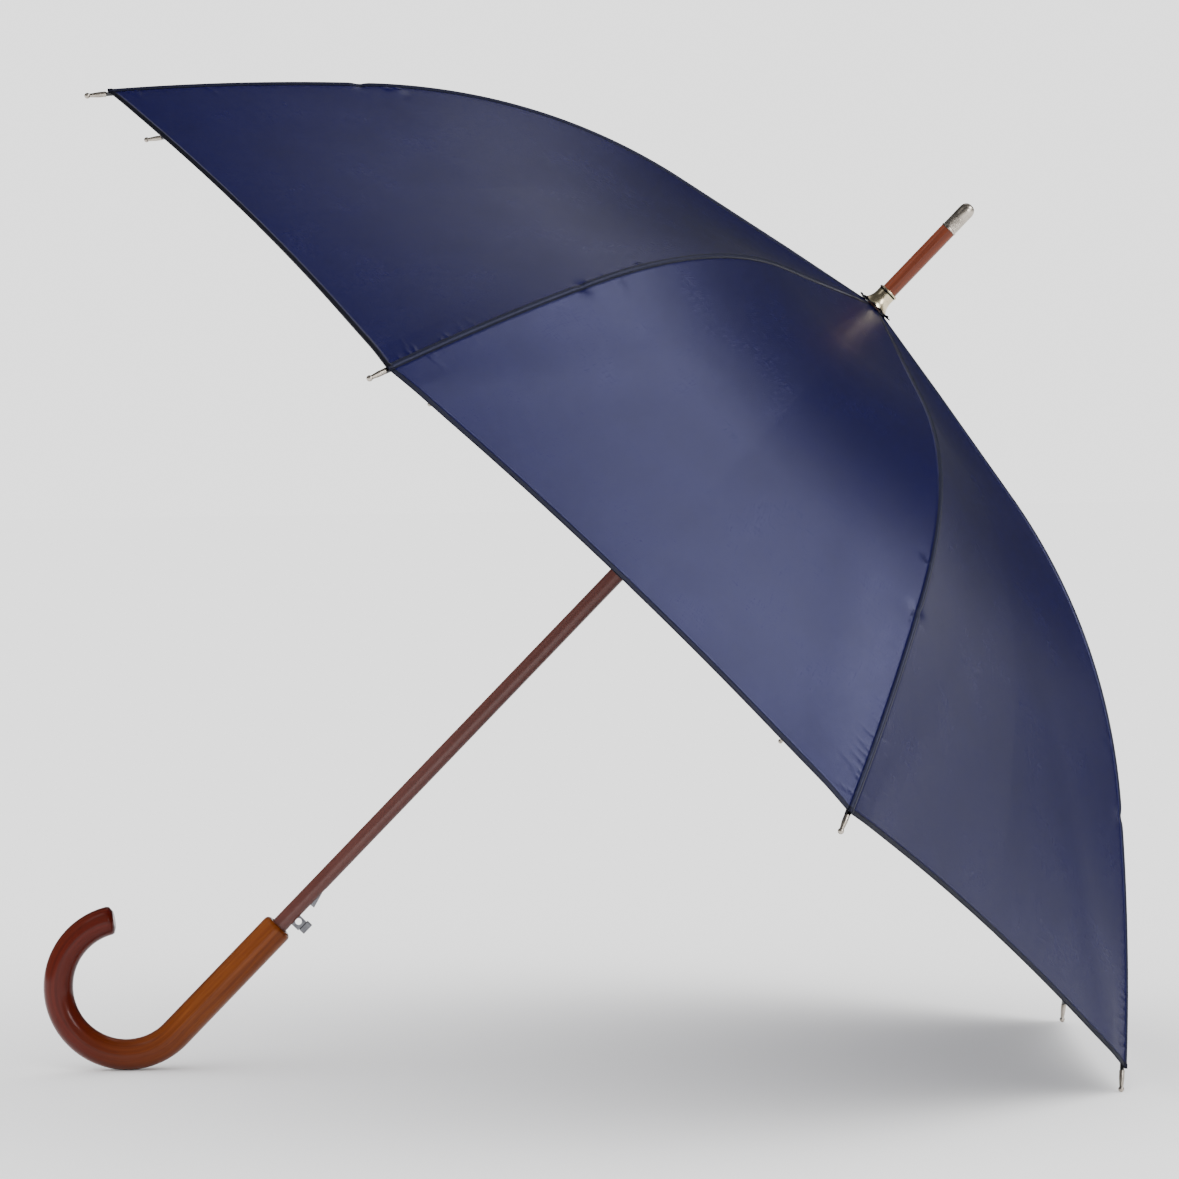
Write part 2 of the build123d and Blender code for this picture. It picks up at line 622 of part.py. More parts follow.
def tie_snap():
    """The press stud on the strap's free end."""
    r, z, slope = meridian(STRAP_FROM - STRAP_LENGTH + STUD_FROM_END)
    outward = Vector(sin(radians(slope)), 0, cos(radians(slope)))
    lift = COVER_T / 2 + STRAP_LIFT + STRAP_T + STUD_LIFT
    place = Plane(Vector(r, 0, z) + outward * lift, x_dir=(0, 1, 0), z_dir=outward).location
    stud = Cylinder(STUD_R, STUD_H, align=(Align.CENTER, Align.CENTER, Align.MIN))
    return place * fillet(stud.edges().sort_by(Axis.Z)[-1], STUD_EDGE)


# ---- everything in its place --------------------------------------------------------------
def build():
    """All pieces by node name, about the shaft."""
    parts = {
        "shaft": shaft(),
        "crook_handle": crook_handle(),
        "ferrule_rod": ferrule_rod(),
        "end_cap": end_cap(),
        "crown_cap": crown_cap(),
        "crown_washer": crown_washer(),
        "top_notch": top_notch(),
        "notch_wire": wire_ring(NOTCH[1]),
        "opening_spring": opening_spring(),
        "spring_anchor_pin": pivot_pin(CROWN_Z - ANCHOR_BELOW_CROWN),
        "catch_pivot_pin": pivot_pin(LATCH_PIVOT),
        "catch_spring": catch_spring(),
        "push_button": push_button(),
        "runner": runner(),
        "runner_wire": wire_ring(RUNNER_Z),
        "drive_pin": drive_pin_shape(PIN_R, RUNNER_R),
    }
    per_rib = {
        "rib_inner": rib_inner(), "rib_outer": rib_outer(), "rib_tip": rib_tip(),
        "stretcher": stretcher(), "cover": cover_petal(),
    }
    for i in range(RIBS):
        for name, shape in per_rib.items():
            parts[f"{name}_{i + 1}"] = around(HALF_STEP + i * RIB_STEP, shape)
    strap_place = HALF_STEP + (STRAP_RIB - 1) * RIB_STEP
    parts["tie_strap"] = around(strap_place, tie_strap())
    parts["tie_snap"] = around(strap_place, tie_snap())
    return parts


def resting_place(parts):
    """The move from the shaft's frame to the floor, with the whole umbrella's middle at X = Y = 0."""
    tilted = Plane((0, 0, 0), x_dir=DOWN_DIR, z_dir=SHAFT_DIR).location
    box = Compound(children=[tilted * shape for shape in parts.values()]).bounding_box()
    middle = (box.min + box.max) * 0.5
    return Location((-middle.X, -middle.Y, -box.min.Z)) * tilted


def main():
    parts = build()
    place = resting_place(parts)
    os.makedirs("parts", exist_ok=True)
    for name, shape in parts.items():
        export_step(place * shape, f"parts/{name}.step")


if __name__ == "__main__":
    main()
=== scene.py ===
import json
import math

import bmesh
import bpy
import numpy as np
from mathutils import Matrix, Vector


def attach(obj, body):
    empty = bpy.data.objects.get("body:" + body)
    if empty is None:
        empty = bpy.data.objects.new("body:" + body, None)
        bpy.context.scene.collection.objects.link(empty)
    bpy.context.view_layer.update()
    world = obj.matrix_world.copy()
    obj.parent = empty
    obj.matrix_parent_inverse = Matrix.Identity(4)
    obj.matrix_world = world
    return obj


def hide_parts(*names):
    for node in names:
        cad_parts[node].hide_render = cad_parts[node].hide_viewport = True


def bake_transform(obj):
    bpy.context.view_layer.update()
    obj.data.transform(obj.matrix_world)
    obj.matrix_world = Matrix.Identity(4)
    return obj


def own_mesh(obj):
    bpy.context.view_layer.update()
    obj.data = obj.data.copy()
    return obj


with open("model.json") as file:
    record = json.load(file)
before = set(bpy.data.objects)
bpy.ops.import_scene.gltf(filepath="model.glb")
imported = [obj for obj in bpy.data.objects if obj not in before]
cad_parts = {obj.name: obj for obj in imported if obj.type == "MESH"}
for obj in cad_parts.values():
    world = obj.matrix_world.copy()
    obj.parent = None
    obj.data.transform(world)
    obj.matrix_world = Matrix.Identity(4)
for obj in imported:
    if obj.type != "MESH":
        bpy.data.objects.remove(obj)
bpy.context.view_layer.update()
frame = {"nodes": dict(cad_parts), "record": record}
RECORD = frame["record"]
NODES = frame["nodes"]

# ---- the umbrella's own measures, in metres, about its shaft ---------------------------------
RIBS = 8
RIB_STEP = math.radians(360 / RIBS)
HALF_STEP = RIB_STEP / 2
CROWN_R = 0.008                              # radius where the cover starts
RUN_LENGTHS = (0.172, 0.238, 0.201)          # stretches of a rib's line, from the crown to the tip
RUN_SLOPES = tuple(math.radians(a) for a in (11.5, 11.5, 41.2, 48.0))     # slopes at their ends
LENGTH = sum(RUN_LENGTHS)
HEM_AT = LENGTH - 0.016
HEM_SCALLOP = 0.008                          # how much higher the hem is at mid-panel
JOINT_AT = 0.2646                            # arc length of the rib's joint
TIE_AT = 0.42                                # arc length where the cover is tied to the rib
CLOTH_T = 0.00036
END_CAP_MIDDLE = 0.368075                    # the tip mount's height over the plane of the rib tips


def run_step(length, a, b):
    """Outward and downward advance along a stretch of the meridian whose slope goes from a to b."""
    if abs(a - b) < 1e-9:
        return length * np.cos(a), length * np.sin(a)
    radius = length / (b - a)
    return radius * (np.sin(b) - np.sin(a)), radius * (np.cos(a) - np.cos(b))


CROWN_Z = float(sum(run_step(n, a, b)[1] for n, a, b in zip(RUN_LENGTHS, RUN_SLOPES, RUN_SLOPES[1:])))


def meridian(s):
    """Radius and height of the cover over a rib, at arc lengths s from the crown (an array)."""
    s = np.asarray(s, float)
    r, z, start = np.full(s.shape, CROWN_R), np.full(s.shape, CROWN_Z), 0.0
    for i, length in enumerate(RUN_LENGTHS):
        last = i == len(RUN_LENGTHS) - 1
        part = np.clip(s - start, 0.0, None if last else length)
        a, b = RUN_SLOPES[i], RUN_SLOPES[i + 1]
        if abs(a - b) < 1e-9:
            r, z = r + part * math.cos(a), z - part * math.sin(a)
        else:
            radius, end = length / (b - a), a + (b - a) * part / length
            r, z = r + radius * (np.sin(end) - math.sin(a)), z - radius * (math.cos(a) - np.cos(end))
        start += length
    return r, z


def shaft_rig():
    """The move from the shaft's frame (+Z to the ferrule, +X the button's side) to the row frame."""
    tip = next(m for m in RECORD["mounts"] if m["name"] == "ferrule_tip")
    up = Vector(tip["axis"]).normalized()
    side = Vector((0, 1, 0))
    out = side.cross(up).normalized()
    origin = Vector(tip["pos_m"]) - up * END_CAP_MIDDLE
    rig = Matrix((out, side, up)).transposed().to_4x4()
    rig.translation = origin
    return rig


RIG = shaft_rig()
RIG3 = np.array(RIG.to_3x3())
RIG_ORIGIN = np.array(RIG.translation)


def rib_angle(k):
    """Azimuth of rib k, counted from 1, about the shaft."""
    return HALF_STEP + (k - 1) * RIB_STEP


def spin(turn):
    """Rotation about the shaft, as a matrix."""
    c, s = math.cos(turn), math.sin(turn)
    return np.array([[c, -s, 0], [s, c, 0], [0, 0, 1]])


def to_row(points):
    """Points (n, 3) in the shaft's frame, in the row frame."""
    return points @ RIG3.T + RIG_ORIGIN


# ---- camera, light and floor -----------------------------------------------------------------
CAMERA_LENS, CAMERA_SENSOR, CAMERA_FAR = 140.2, 36.0, 200.0
CAMERA_PLACE = (0.0295, -3.3216, 0.4227)
CAMERA_TURN = tuple(math.radians(a) for a in (-0.21, 1.37, 0.92))     # azimuth, tilt down, roll
WORLD_LIGHT, WORLD_MIRRORED, WORLD_SEEN = 1.9, 0.10, 2.11
SUN_LIGHT, SUN_ANGLE, SUN_LEAN = 1.1, math.radians(100), (math.radians(18), math.radians(-12), 0)
AIM = Vector((0.05, 0.0, 0.38))              # near the umbrella's middle; the soft lights face it
SOFTBOXES = (                                # name, azimuth, elevation, distance, size, radiance
    ("front_right", 78, 37, 2.8, (1.3, 0.8), 14.0),
    ("front_low", 42, 14, 3.0, (1.4, 0.8), 11.0),
    ("right", 110, 31, 2.8, (0.8, 0.5), 1.6),
    ("right_low", 126, 6, 3.2, (0.8, 0.6), 1.1),
    ("rear_above", 162, 54, 2.8, (1.3, 1.0), 1.1),
    ("rear_low", 180, 2, 5.0, (2.0, 1.2), 2.6),
    ("front_left", -62, 48, 3.0, (0.5, 1.0), 2.0),
)
FLOOR_HALF = 60.0
FLOOR_WHITE = (0.93, 0.93, 0.93)


def add_camera():
    """The photo's viewing angle."""
    data = bpy.data.cameras.new("camera")
    data.lens = CAMERA_LENS
    data.sensor_width = CAMERA_SENSOR
    data.clip_end = CAMERA_FAR
    camera = bpy.data.objects.new("camera", data)
    bpy.context.scene.collection.objects.link(camera)
    azimuth, elevation, roll = CAMERA_TURN
    turn = Matrix.Rotation(-azimuth, 4, "Z") @ Matrix.Rotation(math.pi / 2 - elevation, 4, "X")
    camera.matrix_world = Matrix.Translation(CAMERA_PLACE) @ turn @ Matrix.Rotation(-roll, 4, "Z")
    bpy.context.scene.camera = camera


def softbox(name, azimuth, elevation, distance, size, radiance):
    """A rectangular light seen only in reflections; azimuth counts to the right from the camera's side."""
    a, e = math.radians(azimuth), math.radians(elevation)
    place = Vector((math.sin(a) * math.cos(e), -math.cos(a) * math.cos(e), math.sin(e))) * distance
    width, height = size
    data = bpy.data.lights.new(name, "AREA")
    data.shape = "RECTANGLE"
    data.size, data.size_y = width, height
    data.energy = radiance * math.pi * width * height
    lamp = bpy.data.objects.new(name, data)
    bpy.context.scene.collection.objects.link(lamp)
    lamp.rotation_euler = (-place).to_track_quat("-Z", "Y").to_euler()
    lamp.location = AIM + place
    lamp.visible_diffuse = False


def add_lights():
    """A white surround (its strength differs for light, mirror and camera), a wide sun, soft lights."""
    world = bpy.data.worlds.new("studio")
    world.use_nodes = True
    tree = world.node_tree
    back = tree.nodes["Background"]
    back.inputs["Color"].default_value = (1.0, 1.0, 1.0, 1)
    ray = tree.nodes.new("ShaderNodeLightPath")
    level = WORLD_LIGHT
    for kind, value in (("Is Glossy Ray", WORLD_MIRRORED), ("Is Camera Ray", WORLD_SEEN)):
        choose = tree.nodes.new("ShaderNodeMapRange")
        if isinstance(level, float):
            choose.inputs["To Min"].default_value = level
        else:
            tree.links.new(level, choose.inputs["To Min"])
        choose.inputs["To Max"].default_value = value
        tree.links.new(ray.outputs[kind], choose.inputs["Value"])
        level = choose.outputs["Result"]
    tree.links.new(level, back.inputs["Strength"])
    bpy.context.scene.world = world
    data = bpy.data.lights.new("overhead", "SUN")
    data.energy, data.angle = SUN_LIGHT, SUN_ANGLE
    lamp = bpy.data.objects.new("overhead", data)
    bpy.context.scene.collection.objects.link(lamp)
    lamp.rotation_euler = SUN_LEAN
    lamp.visible_glossy = False
    for box in SOFTBOXES:
        softbox(*box)


def add_floor():
    """A plain pale floor without a mirror reflection."""
    half = FLOOR_HALF
    mesh = bpy.data.meshes.new("floor")
    corners = [(-half, -half, 0), (half, -half, 0), (half, half, 0), (-half, half, 0)]
    mesh.from_pydata(corners, [], [(0, 1, 2, 3)])
    floor = bpy.data.objects.new("floor", mesh)
    bpy.context.scene.collection.objects.link(floor)
    white = plain("floor_white", FLOOR_WHITE, 0.8)
    white.node_tree.nodes["Principled BSDF"].inputs["Specular IOR Level"].default_value = 0.0
    mesh.materials.append(white)


# ---- materials -------------------------------------------------------------------------------
def plain(name, color, roughness, metallic=0.0):
    """A material of one colour."""
    material = bpy.data.materials.new(name)
    material.use_nodes = True
    shader = material.node_tree.nodes["Principled BSDF"]
    shader.inputs["Base Color"].default_value = (*color, 1)
    shader.inputs["Roughness"].default_value = roughness
    shader.inputs["Metallic"].default_value = metallic
    return material


class Nodes:
    """A short way to add and link shader nodes in one material."""

    def __init__(self, name, color, roughness, metallic=0.0, **fixed):
        self.material = plain(name, color, roughness, metallic)
        self.tree = self.material.node_tree
        self.shader = self.tree.nodes["Principled BSDF"]
        for socket, value in fixed.items():
            self.shader.inputs[socket.replace("_", " ")].default_value = value

    def add(self, kind, links=None, **settings):
        node = self.tree.nodes.new("ShaderNode" + kind)
        for name, value in settings.items():
            if hasattr(node, name):
                setattr(node, name, value)
            else:
                node.inputs[name.replace("_", " ")].default_value = value
        for name, socket in (links or {}).items():
            self.tree.links.new(socket, node.inputs[name])
        return node

    def place(self, scale=(1, 1, 1), uv=False):
        """Object or UV coordinates, stretched by scale."""
        kind, output = ("UVMap", "UV") if uv else ("TexCoord", "Object")
        source = self.add(kind).outputs[output]
        return self.add("Mapping", {"Vector": source}, Scale=scale).outputs["Vector"]

    def noise(self, place, scale, detail=3.0, roughness=0.5, distortion=0.0):
        return self.add("TexNoise", {"Vector": place}, Scale=scale, Detail=detail,
                        Roughness=roughness, Distortion=distortion).outputs["Fac"]

    def math(self, operation, a, b):
        node = self.tree.nodes.new("ShaderNodeMath")
        node.operation = operation
        for i, value in enumerate((a, b)):
            if isinstance(value, (int, float)):
                node.inputs[i].default_value = value
            else:
                self.tree.links.new(value, node.inputs[i])
        return node.outputs["Value"]

    def spread(self, value, low, high, out_low, out_high):
        node = self.add("MapRange", {"Value": value}, From_Min=low, From_Max=high,
                        To_Min=out_low, To_Max=out_high)
        return node.outputs["Result"]

    def ramp(self, factor, stops):
        node = self.tree.nodes.new("ShaderNodeValToRGB")
        self.tree.links.new(factor, node.inputs["Fac"])
        elements = node.color_ramp.elements
        while len(elements) < len(stops):
            elements.new(0.5)
        for element, (place, color) in zip(elements, stops):
            element.position = place
            element.color = (*color, 1)
        return node.outputs["Color"]

    def mix(self, factor, a, b):
        node = self.tree.nodes.new("ShaderNodeMix")
        node.data_type = "RGBA"
        self.tree.links.new(factor, node.inputs[0])
        for socket, value in ((node.inputs[6], a), (node.inputs[7], b)):
            if isinstance(value, tuple):
                socket.default_value = (*value, 1)
            else:
                self.tree.links.new(value, socket)
        return node.outputs[2]

    def drive(self, name, socket):
        self.tree.links.new(socket, self.shader.inputs[name])

    def bump(self, height, strength, distance, normal=None):
        node = self.add("Bump", {"Height": height}, Strength=strength, Distance=distance)
        if normal:
            self.tree.links.new(normal, node.inputs["Normal"])
        return node.outputs["Normal"]


def cloth(name, dark, light, roughness, weave=1.0):
    """Plain-woven satin polyester: crossed threads, slubs along the weft, and a soft sheen."""
    n = Nodes(name, light, roughness, IOR=1.33, Specular_Tint=(0.56, 0.59, 1.0, 1), Sheen_Weight=0.01,
              Sheen_Roughness=0.4, Sheen_Tint=(0.7, 0.75, 1.0, 1))
    uv = n.add("UVMap").outputs["UV"]
    cloudy = n.noise(n.place(), 22.0, 4.0, 0.55)
    slubs = n.noise(n.place((90, 1500, 1), True), 1.0, 4.0, 0.7)
    ends = n.noise(n.place((1500, 90, 1), True), 1.0, 4.0, 0.7)
    threads = n.math("ADD", slubs, ends)
    tone = n.math("ADD", n.math("MULTIPLY", threads, 0.7), n.math("MULTIPLY", cloudy, 0.6))
    n.drive("Base Color", n.ramp(n.spread(tone, 0.7, 1.3, 0.0, 1.0), [(0.0, dark), (1.0, light)]))
    n.drive("Roughness", n.spread(tone, 0.7, 1.3, roughness + 0.03, roughness - 0.03))
    warp = n.add("TexWave", {"Vector": uv}, bands_direction="X", Scale=900.0).outputs["Fac"]
    weft = n.add("TexWave", {"Vector": uv}, bands_direction="Y", Scale=900.0).outputs["Fac"]
    normal = n.bump(n.math("MULTIPLY", warp, weft), 0.3 * weave, 0.00008)
    normal = n.bump(threads, 0.1 * weave, 0.0003, normal)
    normal = n.bump(n.noise(n.place(), 60.0, 3.0), 0.1 * weave, 0.001, normal)
    n.drive("Normal", normal)
    return n.material


def in_shaft_frame(n, scale=(1, 1, 1)):
    """Object coordinates turned into the shaft's frame, so that Z runs along the shaft."""
    source = n.add("TexCoord").outputs["Object"]
    back = RIG.inverted()
    turned = n.add("Mapping", {"Vector": source}, Location=back.translation, Rotation=back.to_euler())
    return n.add("Mapping", {"Vector": turned.outputs["Vector"]}, Scale=scale).outputs["Vector"]


def wood(name, tones, place_of, coat=0.7):
    """Stained and lacquered wood: fibres along the piece, pores, and a clear gloss coat."""
    n = Nodes(name, tones[0], 0.35, Coat_Weight=coat, Coat_Roughness=0.14, IOR=1.2, Coat_IOR=1.4)
    fibres = n.noise(place_of(n, 340, 9), 1.0, 6.0, 0.65, 0.3)
    bands = n.noise(place_of(n, 70, 3.5), 1.0, 3.0, 0.5, 0.8)
    pores = n.noise(place_of(n, 1600, 60), 1.0, 2.0, 0.5)
    grain = n.math("ADD", n.math("MULTIPLY", fibres, 0.55), n.math("MULTIPLY", bands, 0.45))
    tone = n.spread(grain, 0.36, 0.64, 0.0, 1.0)
    stained = n.ramp(tone, [(0.0, tones[0]), (0.55, tones[1]), (1.0, tones[2])])
    dots = n.spread(pores, 0.66, 0.72, 0.0, 0.5)
    n.drive("Base Color", n.mix(dots, stained, tuple(c * 0.35 for c in tones[0])))
    n.drive("Roughness", n.spread(fibres, 0.3, 0.7, 0.42, 0.28))
    normal = n.bump(fibres, 0.12, 0.0004)
    n.drive("Normal", n.bump(n.noise(n.place(), 25.0, 2.0), 0.05, 0.002, normal))
    return n


def wood_along_uv(n, across, along):
    """Where the grain is read: along a swept piece."""
    return n.place((across, along, 1), True)


def wood_along_shaft(n, across, along):
    """Where the grain is read: along the shaft's axis."""
    return in_shaft_frame(n, (across, across, along))


GRIP_TONES = ((0.085, 0.017, 0.002), (0.135, 0.031, 0.0035), (0.18, 0.046, 0.006))
CROOK_STAIN = (0.5, 0.2, 0.6, 1)             # multiplies the grip's tones in the bend
ROD_TONES = ((0.10, 0.020, 0.008), (0.16, 0.035, 0.014), (0.22, 0.058, 0.024))
# near-black line under the crown cap's bead: painted shade
BEAD_SHADE = (0.01, 0.03, 0.02)
BEAD_SHADE_LINE = (0.0132, 0.0135, 0.0141, 0.0144)     # heights over the crown where it fades in and out


def handle_wood():
    """The crook's stain deepens from orange-brown beside the shaft to dark red-brown in the bend."""
    n = wood("handle_wood", GRIP_TONES, wood_along_uv, 0.35)
    straight = n.shader.inputs["Base Color"].links[0].from_socket
    uv = n.add("SeparateXYZ", {"Vector": n.add("UVMap").outputs["UV"]}).outputs["Y"]
    cloud = n.noise(n.place((30, 9, 1), True), 1.0, 2.0)
    depth = n.math("ADD", n.spread(uv, 0.09, 0.2, 0.0, 1.0), n.spread(cloud, 0.3, 0.7, -0.15, 0.15))
    mixed = n.tree.nodes.new("ShaderNodeMix")
    mixed.data_type = "RGBA"
    mixed.blend_type = "MULTIPLY"
    n.tree.links.new(depth, mixed.inputs[0])
    n.tree.links.new(straight, mixed.inputs[6])
    mixed.inputs[7].default_value = CROOK_STAIN
    n.drive("Base Color", mixed.outputs[2])
    return n.material


def metal(name, color, roughness, dull):
    """Plated metal with fine turning lines about the shaft and patches of dulling."""
    n = Nodes(name, color, roughness, 1.0)
    lines = n.noise(in_shaft_frame(n, (400, 400, 4000)), 1.0, 3.0, 0.6)
    patches = n.noise(n.place(), 120.0, 4.0, 0.6)
    n.drive("Roughness", n.math("ADD", n.spread(lines, 0.3, 0.7, roughness - 0.06, roughness + 0.06),
                                n.spread(patches, 0.45, 0.75, 0.0, 0.12)))
    n.drive("Base Color", n.mix(n.spread(patches, 0.45, 0.8, 0.0, 0.7), color, dull))
    n.drive("Normal", n.bump(lines, 0.15, 0.00008))
    return n


def painted(name, dark, light, roughness, coat, grain=300.0):
    """Paint or lacquer on steel: slight orange peel, dust-fine colour change and a coat."""
    n = Nodes(name, light, roughness, Coat_Weight=coat, Coat_Roughness=0.2, IOR=1.42)
    cloud = n.noise(in_shaft_frame(n, (60, 60, 8)), 1.0, 4.0, 0.6)
    speck = n.noise(n.place(), grain * 8, 2.0)
    tone = n.math("ADD", n.math("MULTIPLY", cloud, 0.7), n.math("MULTIPLY", speck, 0.3))
    n.drive("Base Color", n.ramp(n.spread(tone, 0.35, 0.65, 0.0, 1.0), [(0.0, dark), (1.0, light)]))
    n.drive("Roughness", n.spread(cloud, 0.3, 0.7, roughness - 0.06, roughness + 0.07))
    n.drive("Normal", n.bump(n.noise(n.place(), grain, 2.0), 0.12, 0.0005))
    return n.material


def crown_metal():
    """Pale gold plate with a dark line under the bead, painted there as shade."""
    n = metal("crown_metal", (0.66, 0.57, 0.39), 0.27, (0.42, 0.34, 0.20))
    height = n.add("SeparateXYZ", {"Vector": in_shaft_frame(n)}).outputs["Z"]
    foot, low, high, top = (CROWN_Z + z for z in BEAD_SHADE_LINE)
    # the mask of the painted shade under the bead
    line = n.math("MULTIPLY", n.spread(height, foot, low, 0.0, 1.0), n.spread(height, high, top, 1.0, 0.0))
    gold = n.shader.inputs["Base Color"].links[0].from_socket
    n.drive("Base Color", n.mix(line, gold, BEAD_SHADE))
    return n.material


def finish_cad_nodes():
    """Materials for the CAD nodes that stay as they are."""
    black = painted("black_steel", (0.006, 0.006, 0.007), (0.012, 0.012, 0.014), 0.34, 0.35)
    spring = metal("spring_steel", (0.50, 0.49, 0.47), 0.3, (0.2, 0.19, 0.18)).material
    nickel = metal("nickel", (0.50, 0.45, 0.39), 0.34, (0.30, 0.26, 0.21)).material
    gunmetal = metal("button_metal", (0.22, 0.22, 0.24), 0.34, (0.09, 0.09, 0.10)).material
    moulded = painted("runner_black", (0.008, 0.008, 0.009), (0.014, 0.014, 0.016), 0.4, 0.1, 700.0)
    finishes = {
        "shaft": painted("shaft_lacquer", (0.085, 0.022, 0.016), (0.12, 0.034, 0.025), 0.38, 0.3),
        "ferrule_rod": wood("rod_wood", ROD_TONES, wood_along_shaft, 0.4).material,
        "crown_cap": crown_metal(),
        "top_notch": black, "runner": moulded, "opening_spring": black,
        "catch_spring": gunmetal, "push_button": gunmetal,
        "notch_wire": spring, "runner_wire": spring, "drive_pin": spring,
        "spring_anchor_pin": nickel, "catch_pivot_pin": nickel,
    }
    for k in range(1, RIBS + 1):
        finishes[f"rib_inner_{k}"] = finishes[f"rib_outer_{k}"] = finishes[f"stretcher_{k}"] = black
        finishes[f"rib_tip_{k}"] = nickel
    for node, material in finishes.items():
        mesh = NODES[node].data
        mesh.materials.clear()
        mesh.materials.append(material)
    return finishes


# ---- the cover -------------------------------------------------------------------------------
STRIP_HALF = 0.005                           # half the width of the stiff band sewn along a rib
STRIP_FROM = 0.008                           # arc length where the panels' wings start beside it
JOINT_SKEW = 0.035                           # how far the wings' split lags the joint at mid-panel
SPLIT_FLAP = 0.013                           # the tongue of the lower wing tucked under the upper
NORMAL_SAG = 0.0085                          # the most that the middle of a panel is drawn in
HEM_ROLL = 0.0036                            # width of the rolled hem
HEM_SHARE = 0.0109                           # the hem's share of a lower wing's length
HEM_OUT, HEM_IN, HEM_STEP = 0.0004, 0.0003, 0.0006     # what the fold adds on each face; its step's width
# The second slot lightens the seam band's cloth as a painted sheen; the third is dark cloth that paints
# shade in the groove beside the seam and along the rolled hem.
CLOTH, SEAM_SHEEN, PAINTED_SHADE = 0, 1, 2                  # material slots of the cover's pieces
CLOTH_SEED = 100                             # rib k's cloth draws its folds from this seed plus k
HEM_ROWS = np.array([1.0, 0.84, 0.62, 0.4, 0.16, 0.0])     # shares of the hem at which its points lie
FLAP_SUNK = 0.00045                          # how far the tongue lies under the upper wing
# for each wing: arc lengths at the ends of the chord, lean of the axis, share of the width kept; only the
# chord's middle and normal are worked out, and the wings are not folded
UPPER_FOLD = ((0.002, JOINT_AT), math.radians(-5.0), 0.08)
LOWER_FOLD = ((JOINT_AT, 0.573), math.radians(-6.0), 0.045)


def meridian_slope(s):
    """Angle of the rib's line below level."""
    ends = np.cumsum((0.0,) + RUN_LENGTHS)
    return np.interp(s, ends, RUN_SLOPES)


def sag_depth(s):
    """How far the middle of a panel is drawn in, square to the panel."""
    t = np.clip(s / HEM_AT, 0, 1)
    return NORMAL_SAG * np.sin(np.pi * t ** 0.8) ** 1.2 + 0.002 * t


def cover_surface(s, w):
    """Points over one rib's half panels: s along the meridian, w from -1 to 1 between the middles."""
    r, z = meridian(s)
    side, reach = np.sign(w), np.abs(w)
    c, t = math.cos(HALF_STEP), math.sin(HALF_STEP)
    slope = np.arctan(np.tan(meridian_slope(s)) / c)
    dip = sag_depth(s) * (0.92 * (2 * reach - reach ** 2) + 0.08 * reach)
    inward = dip * np.sin(slope)
    x = r - r * t * t * reach - inward * c
    y = r * c * t * reach - inward * t
    return np.stack([x, y * side, z - dip * np.cos(slope)], -1)


def half_width(s):
    """Distance across a panel from the rib's plane to the panel's middle."""
    return meridian(s)[0] * math.cos(HALF_STEP) * math.sin(HALF_STEP)


def seam_height(d):
    """Height of the felled seam over the cloth, at distance d across the rib's line."""
    mm = np.array([-3.4, -2.5, -2.0, -1.6, -0.9, 0.1, 0.9, 1.35, 1.6, 1.85, 2.1, 2.7, 3.5])
    height = np.array([0.0, 0.04, 0.4, 0.62, 0.82, 0.9, 0.8, 0.66, 0.5, -0.05, -0.22, -0.08, 0.0])
    return np.interp(d, mm / 1000, height / 1000)


def puckers(s, d, seed):
    """Small gathers where the cloth is drawn along the seam, near the tip and under the tie."""
    rng = np.random.default_rng(seed)
    height = np.zeros_like(s)
    first, pitch, stray = 0.014, 0.0058, 0.0015
    spots = [(HEM_AT - first - pitch * i + rng.uniform(-stray, stray), 1.0 - i / 17) for i in range(15)]
    spots += [(JOINT_AT + rng.uniform(0.09, 0.17), 0.7) for _ in range(7)]
    for place, strength in spots:
        side = -1 if rng.random() < 0.72 else 1
        size = strength * rng.uniform(0.2, 0.5) / 1000
        reach = rng.uniform(0.005, 0.014) * (0.6 + 0.4 * strength)
        lean = rng.uniform(-0.3, 0.3)
        across = np.clip(side * d - 0.002, 0, None)
        ridge = np.exp(-((s - place - lean * across) / 0.0015) ** 2)
        fade = np.exp(-(across / reach) ** 2) * np.clip((side * d - 0.0014) / 0.001, 0, 1)
        height += size * ridge * fade
    return height


def drape(s, w, seed):
    """Long soft folds that run from the tips into the panels, and a pressed crease at mid-panel."""
    rng = np.random.default_rng(seed + 50)
    reach = np.abs(w)
    t = np.clip((s - 0.3) / (HEM_AT - 0.3), 0, 1)
    height = np.zeros_like(s)
    for _ in range(4):
        lean, width, size = rng.uniform(0.35, 0.8), rng.uniform(0.1, 0.16), rng.uniform(0.2, 0.5)
        line = np.where(w > 0, reach, -reach) - rng.choice((-1, 1)) * (lean * (1 - t) + 0.08)
        height += size / 1000 * np.exp(-(line / width) ** 2) * t ** 1.5
    height += 0.00022 * np.exp(-((1 - reach) * half_width(s) / 0.0012) ** 2) * np.clip(s / 0.05, 0, 1)
    return height


def cloth_lift(s, w, seed):
    """How far the cloth stands off the drawn surface: folds, puckers and the dimple at a tie."""
    d = w * half_width(s)
    lift = puckers(s, d, seed) + drape(s, w, seed) * np.clip(np.abs(d) / 0.02, 0, 1)
    return lift - 0.0010 * np.exp(-((s - TIE_AT) / 0.004) ** 2 - (d / 0.006) ** 2)


def hem_line(w):
    """Arc length of the hem across the panel: furthest at the rib, drawn back over the middle."""
    reach = np.abs(w)
    return HEM_AT - HEM_SCALLOP / math.sin(RUN_SLOPES[-1]) * (2 * reach - reach ** 2)


def split_line(w):
    """Arc length where the upper wing ends and the lower one starts."""
    return JOINT_AT + JOINT_SKEW * np.abs(w)


